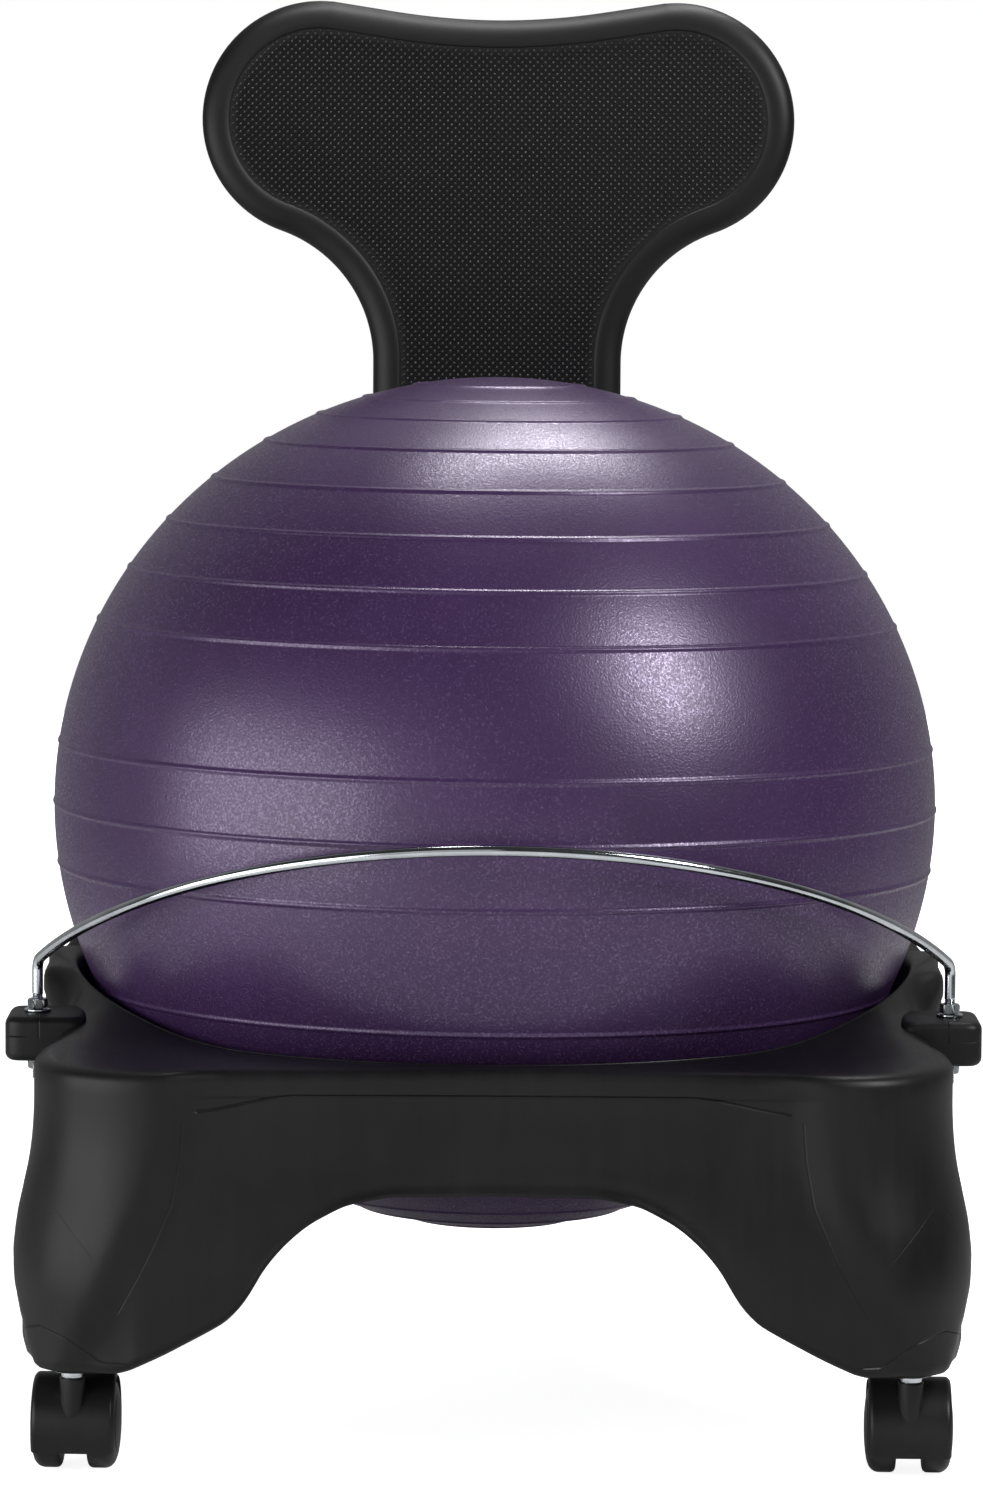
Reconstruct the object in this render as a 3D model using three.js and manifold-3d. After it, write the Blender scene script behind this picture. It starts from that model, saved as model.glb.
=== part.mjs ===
// A balance ball chair: a hollow moulded base on four twin-wheel casters, an inflated ball
// held in it by a bent steel bar, and a bolted backrest. Millimetres, +Z up, front towards -Y.
// The origin lies on the floor, under the middle of the chair's plan.
import * as THREE from 'three';
import { mergeVertices } from 'three/addons/utils/BufferGeometryUtils.js';
import Module from 'manifold-3d';

const wasm = await Module();
wasm.setup();

// Fits
const seatGap = 0.35;
const pieceGap = 0.3;
const turningGap = 0.35;
const overrun = 5;
const weldDistance = 0.0001;

// Ball
const ballRadius = 254;
const ballHalfHeight = 245;
const ballBottomHeight = 101;
const ballSkin = 1.3;
const ballSides = 36;
const ballRings = 15;
const valveRadius = 5.5;
const valveSeatWidth = 8.5;
const valveSeatDepth = 7;
const plugHeadLip = 4.5;
const plugHeadHeight = 2.2;
const plugLength = 13;
const plugTipShare = 0.8;

// Base, plan: how far it stands out from the ball, and its legs
const sideMargin = 5;
const frontMargin = 12;
const baseCornerRadius = 72;
const legWidth = 63;
const legBulge = 6;
const legBulgeInset = 46;
const legBulgeRun = 34;
const topInset = 16;
const topEdgeRadius = 13;
const footInset = 19;
const archEdge = 5;
const shellWall = 4;

// Base, heights: the ledge over the ball's lowest point, and the rest down from the ledge
const ledgeRise = 128;
const ledgeSlope = 0.02;
const dishDrop = 5;
const dishGap = 12;
const seatDrop = 32;
const seatStep = 3.5;
const archDrop = 69;
const bulgeDrop = 29;
const footClearance = 10;

// Base, rear wall and backrest socket
const lipWidth = 20;
const lipRadius = 6;
const lipStub = 1.2;
const lipGrowth = 10;
const wallGap = 6;
const towerRise = 171;
const towerWall = 10;
const towerSide = 21.4;
const towerFade = 80;
const riseHalfAngle = 115;
const risePower = 1.6;
const riseBoost = 1.06;
const socketDepth = 100;

// Base, raised rims at the sides: flush from behind the lugs on, and round the ball from further in front.
// Start, run, end and fade are degrees from the front.
const rimLift = 24;
const rimMargin = 4;
const rimRun = 10;
const rimEnd = 100;
const rimFade = 30;
const brimStart = 35;
const brimRun = 55;

// Base, bar lugs
const lugStandOut = 15;
const lugWidth = 46;
const lugDepth = 52;
const lugHeight = 25;
const lugRise = 8;
const lugCorner = 9;
const lugEdge = 3;

// Retaining bar and its fasteners
const barRadius = 3.1;
const barInset = 17;
const barEndDepth = 100;
const barGap = 15;
const barPost = 29;
const barApexRise = 4;
const barBendRadius = 8;
const barTail = 13;
const barSides = 9;
const barArcSteps = 30;
const barBendSteps = 3;
const nutAcrossFlats = 10;
const nutHeight = 5.5;
const washerRadius = 7.5;
const washerThickness = 1.3;

// Backrest
const backGap = 9;
const backThickness = 20;
const postHalfWidth = 76.6;
const postCorner = 20;
const lobeAcross = 109.5;
const lobeRise = 337.5;
const lobeRadius = 72.5;
const waistRadius = 85;
const topSlopeDegrees = 8.8;
const dipRadius = 420;
const borderWidth = 17;
const borderRound = 9;
const panelRecess = 1.6;
const wingForward = 14;
const leanBack = 9;
const bendGap = 70;
const bendRun = 190;

// Backrest fasteners
const boltAcross = 45;
const boltDrop = 50;
const boltRadius = 4;
const boltHeadRadius = 7.5;
const boltHeadHeight = 4.4;
const boltKeyRadius = 2.9;
const boltKeyDepth = 2.4;
const boltWasherRadius = 10;
const boltWasherThickness = 1.6;
const boltClearance = 0.5;
const insertWall = 1.8;
const insertLength = 13;

// Casters
const casterInset = 30;
const casterSetBack = 41;
const casterTrail = 20;
const casterYawDegrees = [-2, -1, 8, -6];
const wheelRadius = 25;
const wheelSides = 20;
const wheelGap = 0.4;
const wheelWidth = 17;
const wheelDish = 2;
const wheelEdge = 1.4;
const axleRadius = 3;
const axleCover = 4.9;
const hoodGap = 0.9;
const hoodWall = 1.7;
const hoodInset = 1.6;
const hoodFrontHeight = 12;
const hoodRearHeight = 21;
const hoodSteps = 10;
const webGap = 1.8;
const bossWall = 1.35;
const stemRadius = 5.3;
const stemDrop = 31;
const stemCollarStep = 1.1;
const stemCollarHeight = 3.4;
const stemLength = 32;
const ringHeight = 4;
const ringDepth = 0.8;
const ringDrop = 8;
const socketWall = 1.8;
const socketFlange = 4;
const socketFlangeHeight = 1.8;
const socketLength = 36;
const legBossWall = 6;

// Brake lever on the two rear casters
const leverAngle = 42;
const leverLength = 21;
const leverHalfWidth = 9;
const leverThickness = 3;
const leverBarrel = 3;
const leverPinRadius = 1.7;
const leverEar = 3.4;
const leverLift = 1.2;
const leverTipTilt = 14;

const smallSides = 12;

// Places of the ball and of the base around it
const ballCentre = ballBottomHeight + ballHalfHeight;
const valveSeatRadius = valveRadius + valveSeatWidth;
const plugHeadRadius = valveRadius + plugHeadLip;
const baseHalfWidth = ballRadius + sideMargin;
const baseHalfDepth = ballRadius + frontMargin;
const archHalfWidth = baseHalfWidth - legWidth;
const legBulgeStart = archHalfWidth - legBulgeInset;
const footHeight = 2 * wheelRadius + footClearance;
const ledgeHeight = ballBottomHeight + ledgeRise;
const seatHeight = ledgeHeight - seatDrop;
const archHeight = ledgeHeight - archDrop;
const bulgeHeight = archHeight - bulgeDrop;
const dishRadius = ballSection(ledgeHeight - dishDrop) + dishGap;

// Places of the lugs, the bar, the socket and the backrest
const lugReach = baseHalfWidth + lugStandOut;
const lugInnerReach = lugReach - lugWidth;
const lugTop = ledgeHeight + lugRise;
const rimStartDepth = barEndDepth - lugDepth / 2 - rimMargin;
const rimStart = THREE.MathUtils.radToDeg(Math.atan2(baseHalfWidth, rimStartDepth));
const barHalfSpan = lugReach - barInset;
const barApexDepth = ballRadius + barGap;
const barBendHeight = lugTop + barPost;
const barApexHeight = ballCentre + barApexRise;
const backFront = ballRadius + backGap;
const towerHeight = ledgeHeight + towerRise;
const towerFace = backFront + backThickness + towerWall;
const towerHalfWidth = postHalfWidth + towerSide;
const socketFloor = towerHeight - socketDepth;
const lobeHeight = towerHeight + lobeRise;
const bendStart = towerHeight + bendGap;
const boltHeight = towerHeight - boltDrop;
const insertRadius = boltRadius + insertWall;

// Places of the casters, and the sizes of what turns in them
const casterAcross = baseHalfWidth - casterInset;
const casterDepth = baseHalfDepth - casterSetBack;
const bossRadius = stemRadius + turningGap + bossWall;
const wheelInner = bossRadius + wheelGap;
const wheelOuter = wheelInner + wheelWidth;
const axleHalfLength = wheelOuter - axleCover;
const hoodRadius = wheelRadius + hoodGap + hoodWall;
const hoodHalfWidth = wheelOuter - hoodInset;
const webHalfWidth = wheelInner - webGap;
const stemBottom = footHeight - stemDrop;
const stemCollarRadius = stemRadius + stemCollarStep;

const finishes = {
  basePlastic: { color: 0x1c1c20, roughness: 0.5, metalness: 0 },
  backPlastic: { color: 0x141416, roughness: 0.55, metalness: 0 },
  ballSkin: { color: 0x4a2f78, roughness: 0.42, metalness: 0.05 },
  plugRubber: { color: 0xd8d6d0, roughness: 0.6, metalness: 0 },
  zincSteel: { color: 0xb4bac0, roughness: 0.28, metalness: 1 },
  blackSteel: { color: 0x202124, roughness: 0.4, metalness: 0.8 },
  brass: { color: 0xb4924e, roughness: 0.35, metalness: 1 },
  casterPlastic: { color: 0x17181a, roughness: 0.45, metalness: 0 },
};

const chair = new THREE.Group();

function addPiece(parent, name, geometry, finish) {
  const piece = new THREE.Mesh(closedBody(geometry), new THREE.MeshStandardMaterial(finishes[finish]));
  piece.name = name;
  parent.add(piece);
  return piece;
}

// Keeps positions alone and merges shared corners
function bare(geometry) {
  const plain = new THREE.BufferGeometry();
  plain.setAttribute('position', geometry.getAttribute('position').clone());
  if (geometry.index) plain.setIndex(geometry.index.clone());
  return mergeVertices(plain, weldDistance);
}

function signedVolume(geometry) {
  const p = geometry.getAttribute('position');
  const index = geometry.index.array;
  const [a, b, c] = [new THREE.Vector3(), new THREE.Vector3(), new THREE.Vector3()];
  let sum = 0;
  for (let i = 0; i < index.length; i += 3) {
    a.fromBufferAttribute(p, index[i]);
    b.fromBufferAttribute(p, index[i + 1]);
    c.fromBufferAttribute(p, index[i + 2]);
    sum += a.dot(b.cross(c)) / 6;
  }
  return sum;
}

// Merged, without collapsed triangles, and with its faces pointing out
function closedBody(geometry) {
  const merged = bare(geometry);
  const index = merged.index.array;
  const kept = [];
  for (let i = 0; i < index.length; i += 3) {
    const [a, b, c] = [index[i], index[i + 1], index[i + 2]];
    if (a !== b && b !== c && c !== a) kept.push(a, b, c);
  }
  merged.setIndex(kept);
  if (signedVolume(merged) < 0) {
    for (let i = 0; i < kept.length; i += 3) [kept[i], kept[i + 1]] = [kept[i + 1], kept[i]];
    merged.setIndex(kept);
  }
  merged.computeVertexNormals();
  return merged;
}

function toSolid(geometry) {
  const closed = closedBody(geometry);
  const vertProperties = new Float32Array(closed.getAttribute('position').array);
  const triVerts = new Uint32Array(closed.index.array);
  return new wasm.Manifold(new wasm.Mesh({ numProp: 3, vertProperties, triVerts }));
}

function toGeometry(solid) {
  const mesh = solid.getMesh();
  const geometry = new THREE.BufferGeometry();
  geometry.setAttribute('position', new THREE.BufferAttribute(mesh.vertProperties, 3));
  geometry.setIndex(new THREE.BufferAttribute(mesh.triVerts, 1));
  geometry.computeVertexNormals();
  return geometry;
}

function joined(first, ...others) {
  return others.reduce((whole, other) => whole.add(toSolid(other)), toSolid(first));
}

function lessCuts(solid, ...cuts) {
  return cuts.reduce((whole, cut) => whole.subtract(toSolid(cut)), solid);
}

// A surface through a grid of points, closed both ways like a ring
function ringGrid(loops) {
  const across = loops[0].length;
  const positions = loops.flat().flatMap((v) => [v.x, v.y, v.z]);
  const index = [];
  for (let i = 0; i < loops.length; i += 1) {
    const next = (i + 1) % loops.length;
    for (let j = 0; j < across; j += 1) {
      const side = (j + 1) % across;
      const [a, b, c, d] = [i * across + j, next * across + j, next * across + side, i * across + side];
      index.push(a, b, c, a, c, d);
    }
  }
  const geometry = new THREE.BufferGeometry();
  geometry.setAttribute('position', new THREE.Float32BufferAttribute(positions, 3));
  geometry.setIndex(index);
  return geometry;
}

// Turns a profile of [radius, height] points about Z
function turned(profile, sides) {
  const points = profile.map(([radius, height]) => new THREE.Vector2(radius, height));
  return new THREE.LatheGeometry(points, sides).rotateX(Math.PI / 2);
}

function cylinder(radius, low, high, sides = smallSides) {
  return turned([[0, low], [radius, low], [radius, high], [0, high]], sides);
}

function box(low, high) {
  const size = high.clone().sub(low);
  const middle = high.clone().add(low).multiplyScalar(0.5);
  return new THREE.BoxGeometry(size.x, size.y, size.z).translate(middle.x, middle.y, middle.z);
}

function mix(a, b, share) {
  return a + (b - a) * share;
}

function smooth(share) {
  const s = Math.min(1, Math.max(0, share));
  return s * s * (3 - 2 * s);
}

// Straight lines through a table of [place, value] rows
function readTable(table, place) {
  let row = 1;
  while (row < table.length - 1 && table[row][0] < place) row += 1;
  const [p0, v0] = table[row - 1];
  const [p1, v1] = table[row];
  return mix(v0, v1, Math.min(1, Math.max(0, (place - p0) / (p1 - p0))));
}

// The ball's radius at a height
function ballSection(height) {
  const rise = (height - ballCentre) / ballHalfHeight;
  return ballRadius * Math.sqrt(Math.max(0, 1 - rise * rise));
}

// Ball, with a ring of corners at the height of the seat
function makeBall() {
  const outer = [];
  const inner = [];
  const innerRadius = ballRadius - ballSkin;
  const innerHalf = ballHalfHeight - ballSkin;
  const valveTurn = Math.asin(valveSeatRadius / ballRadius);
  const seatTurn = Math.acos((ballCentre - seatHeight) / ballHalfHeight);
  const lowRings = Math.round((ballRings * seatTurn) / Math.PI);
  for (let i = 0; i <= ballRings; i += 1) {
    const isLow = i <= lowRings;
    const turn = isLow
      ? mix(valveTurn, seatTurn, i / lowRings)
      : mix(seatTurn, Math.PI, (i - lowRings) / (ballRings - lowRings));
    outer.push([ballRadius * Math.sin(turn), ballCentre - ballHalfHeight * Math.cos(turn)]);
    inner.push([innerRadius * Math.sin(turn), ballCentre - innerHalf * Math.cos(turn)]);
  }
  outer[ballRings] = [0, ballCentre + ballHalfHeight];
  inner[ballRings] = [0, ballCentre + innerHalf];
  const mouth = [valveRadius, ballBottomHeight];
  const seatTop = ballBottomHeight + valveSeatDepth;
  const seat = [[valveSeatRadius, seatTop], [valveRadius, seatTop]];
  return turned([mouth, ...outer, ...inner.reverse(), ...seat, mouth], ballSides);
}

function makeValvePlug() {
  const low = ballBottomHeight - pieceGap - plugHeadHeight;
  const neck = low + plugHeadHeight;
  const stem = valveRadius - pieceGap;
  return turned([
    [0, low],
    [plugHeadRadius - plugHeadHeight / 2, low],
    [plugHeadRadius, low + plugHeadHeight / 2],
    [plugHeadRadius - plugHeadHeight / 3, neck],
    [stem, neck],
    [stem * plugTipShare, neck + plugLength],
    [0, neck + plugLength],
  ], smallSides);
}

// Base: a ring whose section changes with the direction from the ball's axis

// Each row: how far across the arch, and how far down from its crown to the foot
const archShares = [
  [0, 0], [0.3, 0.01], [0.42, 0.055], [0.523, 0.165], [0.582, 0.275], [0.628, 0.385],
  [0.659, 0.49], [0.684, 0.6], [0.75, 0.71], [0.868, 0.82], [0.985, 0.93], [1.065, 1],
];

// Each row: height share from the foot to the ledge, and share of the top inset taken there
const sideInsetShares = [[0.316, 0], [0.422, 0.12], [0.546, 0.49], [0.681, 0.89], [0.815, 1], [1, 1]];

// Where the section is worked out between a face's middle and the corner
const faceShares = [0, 0.15, 0.29, 0.38, 0.44, 0.5, 0.59, 0.7, 0.8, 0.9, 1];

// Heights of the side wall's points, from its lower edge to the ledge
const wallShares = [0.78, 0.54, 0.34, 0.19, 0.08];
const undersideShares = [0.33, 0.67];
const innerWallShares = [0.34, 0.67];
const hollowWallShares = [0.82, 0.55, 0.2];
const hollowFloorShares = [0, 0.33, 0.67, 1];

function underside(x, y) {
  const across = Math.min(Math.abs(x), Math.abs(y)) / archHalfWidth;
  return archHeight - (archHeight - footHeight) * readTable(archShares, across);
}

// Distance from the axis to the rounded rectangle in a direction
function planReach(direction) {
  const face = Math.min(
    baseHalfWidth / Math.max(Math.abs(direction.x), 1e-9),
    baseHalfDepth / Math.max(Math.abs(direction.y), 1e-9),
  );
  const across = Math.min(Math.abs(direction.x), Math.abs(direction.y)) * face;
  const bulge = legBulge * smooth((across - legBulgeStart) / legBulgeRun);
  const corner = new THREE.Vector2(baseHalfWidth, baseHalfDepth).subScalar(baseCornerRadius);
  const inCornerX = Math.abs(direction.x) * face > corner.x;
  const inCornerY = Math.abs(direction.y) * face > corner.y;
  if (!inCornerX || !inCornerY) return face + bulge;
  const along = corner.x * Math.abs(direction.x) + corner.y * Math.abs(direction.y);
  return along + Math.sqrt(baseCornerRadius ** 2 - corner.lengthSq() + along * along) + bulge;
}

// 0 in front and 1 at the rear, by the angle from the rear
function rearRise(fromRear) {
  const turn = Math.min(1, fromRear / THREE.MathUtils.degToRad(riseHalfAngle)) * Math.PI;
  return Math.min(1, riseBoost * ((1 + Math.cos(turn)) / 2) ** risePower);
}

// 1 along the raised rims and 0 elsewhere, from an angle on
function rimShare(direction, start, run) {
  const fromFront = THREE.MathUtils.radToDeg(Math.atan2(Math.abs(direction.x), -direction.y));
  return smooth((fromFront - start) / run) * (1 - smooth((fromFront - rimEnd) / rimFade));
}

function insetShare(height) {
  return readTable(sideInsetShares, (height - footHeight) / (ledgeHeight - footHeight));
}

// What a section needs to know about its direction
function sectionFrame(direction) {
  const rise = rearRise(Math.atan2(Math.abs(direction.x), direction.y));
  const behind = direction.y > 0 ? (towerFace * Math.abs(direction.x)) / direction.y : Infinity;
  const tower = 1 - smooth((behind - towerHalfWidth) / towerFade);
  const lip = smooth(rise * lipGrowth);
  const round = mix(lipStub / 3, lipRadius, lip);
  const rim = rimShare(direction, rimStart, rimRun);
  const rimTop = ledgeHeight + rimLift * rim;
  const inset = topInset * (1 - rim);
  const brimTop = ledgeHeight + rimLift * rimShare(direction, brimStart, brimRun);
  const top = Math.max(brimTop, mix(ledgeHeight, towerHeight, rise));
  const reach = planReach(direction);
  const lipInner = Math.max(dishRadius + lipStub, wallInside(top));
  const lipFull = mix(lipInner + lipWidth, towerFace / Math.max(direction.y, 0.5), tower);
  const lipOuter = mix(lipInner + lipStub, lipFull, lip);
  const footReach = lipOuter + (round / 3) * (1 - tower);
  const topReach = Math.max(reach - inset, footReach + round / 2);
  const shoulder = Math.max(topReach - topEdgeRadius * (1 - tower), footReach + lipStub / 3);
  const ledge = rimTop - ledgeSlope * Math.max(0, topReach - baseHalfWidth);
  const low = underside(direction.x * reach, direction.y * reach);
  const foot = smooth((archHeight - low) / (archHeight - footHeight));
  return {
    tower, lip, round, rimTop, inset, top, reach,
    lipInner, lipOuter, footReach, topReach, shoulder, ledge, low, foot,
  };
}

// The rear wall's inner face stands off the ball, and rises straight above the ball's middle
function wallInside(height) {
  return ballSection(Math.min(height, ballCentre)) + wallGap;
}

// The outer wall's reach at a height, pushed out where the lip or the socket overhangs it
function wallReach(f, height) {
  const brow = f.ledge - topEdgeRadius;
  const push = f.topReach - (f.reach - f.inset);
  const pushed = push * smooth((height - bulgeHeight) / (brow - bulgeHeight));
  return f.reach - f.inset * insetShare(height) + pushed;
}

// The seat's corners lie outside the ball far enough for the flats between them to clear it
const seatRadius = (ballSection(seatHeight) + seatGap) / Math.cos(Math.atan(faceShares[1]) / 2);
const holeRadius = seatRadius + seatStep;

// The section's outer points as [radius, height], from the seat over the top, down and back under
function baseSection(direction) {
  const f = sectionFrame(direction);
  const points = [[seatRadius, seatHeight], [dishRadius, ledgeHeight - dishDrop]];
  for (const share of innerWallShares) {
    const height = mix(ledgeHeight - dishDrop * 0.8, f.top - f.round, share);
    points.push([Math.max(dishRadius + lipStub * share * 0.9, wallInside(height)), height]);
  }
  points.push([f.lipInner, f.top - f.round], [f.lipInner + f.round, f.top]);
  points.push([f.lipOuter - f.round, f.top], [f.lipOuter, f.top - f.round]);
  const lipFoot = mix(f.top - 1.5 * f.round, f.rimTop - lipStub / 2, f.lip);
  points.push([f.footReach, mix(lipFoot, mix(f.ledge, f.top, 0.6), f.tower)]);
  points.push([f.shoulder, mix(f.ledge, mix(f.ledge, f.top, 0.2), f.tower)]);
  points.push([mix(f.shoulder, f.topReach, 0.7), f.ledge - topEdgeRadius * 0.3]);
  const brow = f.ledge - topEdgeRadius;
  points.push([f.topReach, brow]);
  for (const share of wallShares) {
    const height = mix(f.low, brow, share);
    points.push([wallReach(f, height) - archEdge * (1 - share) ** 8, height]);
  }
  const lowReach = wallReach(f, f.low) - mix(archEdge, footInset, f.foot);
  for (const share of [0, ...undersideShares, 1]) {
    const radius = mix(lowReach, holeRadius, share);
    points.push([radius, underside(direction.x * radius, direction.y * radius)]);
  }
  const innerLow = underside(direction.x * holeRadius, direction.y * holeRadius);
  points.push([holeRadius, mix(innerLow, seatHeight, 0.7)]);
  return points;
}

// The hollow inside: the same section, one wall in, and below the backrest's socket
function hollowSection(direction) {
  const f = sectionFrame(direction);
  const roof = f.ledge - 1.5 * shellWall;
  const highest = Math.max(roof, mix(f.top - 2 * shellWall, socketFloor - shellWall, f.tower));
  const lipTop = mix(roof, highest, f.lip);
  const middle = mix(roof - shellWall / 2, lipTop, 0.5);
  const inside = (height) => Math.max(dishRadius, wallInside(height)) + 1.4 * shellWall;
  const lipOuter = Math.max(f.lipOuter - 1.6 * shellWall, inside(lipTop) + shellWall / 4);
  const shoulder = Math.max(f.shoulder - shellWall, lipOuter + shellWall / 6);
  const points = [
    [holeRadius + shellWall, seatHeight - 2 * shellWall],
    [dishRadius + shellWall / 2, ledgeHeight - dishDrop - 1.8 * shellWall],
    [inside(middle), middle],
    [inside(lipTop) + shellWall / 8, lipTop],
    [lipOuter, lipTop],
    [lipOuter + shellWall / 8, roof],
    [shoulder, roof - shellWall / 4],
    [Math.max(f.topReach - 1.2 * shellWall, shoulder + shellWall / 8), roof - topEdgeRadius],
  ];
  for (const share of hollowWallShares) {
    const height = mix(f.low, roof - topEdgeRadius, share);
    points.push([wallReach(f, height) - 1.2 * shellWall, height]);
  }
  const lowReach = wallReach(f, f.low) - 1.2 * shellWall - mix(archEdge, footInset, f.foot);
  for (const share of hollowFloorShares) {
    const radius = mix(lowReach, holeRadius + shellWall, share);
    const floor = underside(direction.x * radius, direction.y * radius);
    points.push([radius, floor + shellWall * mix(1.2, 1.9, f.foot)]);
  }
  return points;
}

function baseDirections() {
  const directions = [];
  for (let quarter = 0; quarter < 4; quarter += 1) {
    const slopes = [...faceShares, ...faceShares.slice(1, -1).reverse().map((s) => 1 / s)];
    for (const slope of slopes) {
      const angle = Math.atan(slope) + (quarter * Math.PI) / 2;
      directions.push(new THREE.Vector2(Math.sin(angle), -Math.cos(angle)));
    }
  }
  return directions;
}

function sweptSection(section) {
  return ringGrid(baseDirections().map((direction) => section(direction).map(
    ([radius, height]) => new THREE.Vector3(direction.x * radius, direction.y * radius, height),
  )));
}

function roundedRectangle(halfWidth, halfDepth, radius) {
  const shape = new THREE.Shape();
  shape.moveTo(-halfWidth + radius, -halfDepth);
  shape.absarc(halfWidth - radius, -halfDepth + radius, radius, -Math.PI / 2, 0);
  shape.absarc(halfWidth - radius, halfDepth - radius, radius, 0, Math.PI / 2);
  shape.absarc(-halfWidth + radius, halfDepth - radius, radius, Math.PI / 2, Math.PI);
  shape.absarc(-halfWidth + radius, -halfDepth + radius, radius, Math.PI, Math.PI * 1.5);
  return shape;
}

function makeLug(side) {
  const halfWidth = (lugReach - lugInnerReach) / 2;
  const shape = roundedRectangle(halfWidth - lugEdge, lugDepth / 2 - lugEdge, lugCorner - lugEdge);
  const lug = new THREE.ExtrudeGeometry(shape, {
    depth: lugHeight - 2 * lugEdge,
    bevelThickness: lugEdge,
    bevelSize: lugEdge,
    bevelSegments: 1,
    curveSegments: 2,
  });
  return lug.translate(side * (lugInnerReach + halfWidth), -barEndDepth, lugTop - lugHeight + lugEdge);
}

function stemPlaces() {
  const places = [];
  for (const depth of [-casterDepth, casterDepth]) {
    for (const side of [-1, 1]) {
      places.push({ across: side * casterAcross, depth, side });
    }
  }
  return places;
}

const socketRadius = stemRadius + turningGap + socketWall;

function makeBase() {
  const outside = toSolid(sweptSection(baseSection));
  let base = outside.subtract(toSolid(sweptSection(hollowSection)));
  for (const side of [-1, 1]) {
    const rod = cylinder(barRadius + boltClearance, lugTop - lugHeight - overrun, lugTop + overrun);
    rod.translate(side * barHalfSpan, -barEndDepth, 0);
    base = base.add(toSolid(makeLug(side))).subtract(toSolid(rod));
  }
  for (const { across, depth } of stemPlaces()) {
    const bossHigh = footHeight + socketLength;
    const boss = cylinder(socketRadius + legBossWall, footHeight, bossHigh);
    const bore = cylinder(socketRadius + pieceGap, footHeight - overrun, bossHigh + overrun);
    boss.translate(across, depth, 0);
    bore.translate(across, depth, 0);
    base = base.add(toSolid(boss)).subtract(toSolid(bore));
  }
  const halfMouth = postHalfWidth + pieceGap;
  const mouth = box(
    new THREE.Vector3(-halfMouth, backFront - pieceGap, socketFloor),
    new THREE.Vector3(halfMouth, backFront + backThickness + pieceGap, towerHeight + overrun),
  );
  base = base.subtract(toSolid(mouth));
  for (const side of [-1, 1]) {
    base = base.subtract(toSolid(boltBore(side)));
  }
  return toGeometry(base);
}

function boltBore(side) {
  const bore = cylinder(boltRadius + boltClearance, 0, towerFace - backFront + overrun);
  return bore.rotateX(-Math.PI / 2).translate(side * boltAcross, backFront + backThickness / 2, boltHeight);
}

// Retaining bar: two upright ends, a tight bend, and an arc that rises to the front

class BarPath extends THREE.Curve {
  constructor() {
    super();
    const sweep = barApexDepth - barEndDepth;
    this.radius = (barHalfSpan ** 2 + sweep ** 2) / (2 * sweep);
    this.halfTurn = Math.asin(barHalfSpan / this.radius);
    this.stations = [];
    this.addHalf();
  }

  arcPoint(turn) {
    const depth = -barApexDepth + this.radius * (1 - Math.cos(turn));
    const share = (depth + barEndDepth) / (barEndDepth - barApexDepth);
    return new THREE.Vector3(this.radius * Math.sin(turn), depth, mix(barBendHeight, barApexHeight, share));
  }

  addHalf() {
    const corner = this.arcPoint(-this.halfTurn);
    const away = this.arcPoint(-this.halfTurn * 0.98).sub(corner).normalize();
    const down = new THREE.Vector3(0, 0, -1);
    const half = away.angleTo(down) / 2;
    const back = barBendRadius / Math.tan(half);
    const start = corner.clone().addScaledVector(down, back);
    const inward = away.clone().add(down).normalize();
    const centre = corner.clone().addScaledVector(inward, barBendRadius / Math.sin(half));
    const left = [new THREE.Vector3(corner.x, corner.y, lugTop - lugHeight - barTail), start];
    const from = start.clone().sub(centre);
    const to = corner.clone().addScaledVector(away, back).sub(centre);
    for (let i = 1; i <= barBendSteps; i += 1) {
      const share = i / barBendSteps;
      const span = from.angleTo(to);
      const a = Math.sin((1 - share) * span) / Math.sin(span);
      const b = Math.sin(share * span) / Math.sin(span);
      left.push(centre.clone().addScaledVector(from, a).addScaledVector(to, b));
    }
    const used = (back / this.radius) * 1.2;
    const arc = [];
    for (let i = 1; i < barArcSteps; i += 1) {
      arc.push(this.arcPoint(mix(-this.halfTurn + used, this.halfTurn - used, i / barArcSteps)));
    }
    const right = left.map((p) => new THREE.Vector3(-p.x, p.y, p.z)).reverse();
    this.stations = [...left, ...arc, ...right];
  }

  getPoint(t) {
    const place = t * (this.stations.length - 1);
    const low = Math.min(this.stations.length - 2, Math.floor(place));
    return this.stations[low].clone().lerp(this.stations[low + 1], place - low);
  }

  getPointAt(u) {
    return this.getPoint(u);
  }

  getTangentAt(u) {
    const last = this.stations.length - 1;
    const at = Math.round(u * last);
    const before = this.stations[Math.max(0, at - 1)];
    const after = this.stations[Math.min(last, at + 1)];
    return after.clone().sub(before).normalize();
  }
}

function makeBar() {
  const path = new BarPath();
  const section = new THREE.Shape();
  section.absarc(0, 0, barRadius, 0, Math.PI * 2);
  return new THREE.ExtrudeGeometry(section, {
    steps: path.stations.length - 1,
    curveSegments: barSides / 2,
    extrudePath: path,
  });
}

function makeNut(low) {
  const shape = new THREE.Shape();
  const corner = nutAcrossFlats / Math.sqrt(3);
  for (let i = 0; i < 6; i += 1) {
    const turn = (i * Math.PI) / 3;
    shape[i ? 'lineTo' : 'moveTo'](corner * Math.cos(turn), corner * Math.sin(turn));
  }
  const hole = new THREE.Path();
  hole.absarc(0, 0, barRadius + pieceGap, 0, Math.PI * 2, true);
  shape.holes.push(hole);
  const curveSegments = smallSides / 2;
  const nut = new THREE.ExtrudeGeometry(shape, { depth: nutHeight, bevelEnabled: false, curveSegments });
  return nut.translate(0, 0, low);
}

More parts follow.
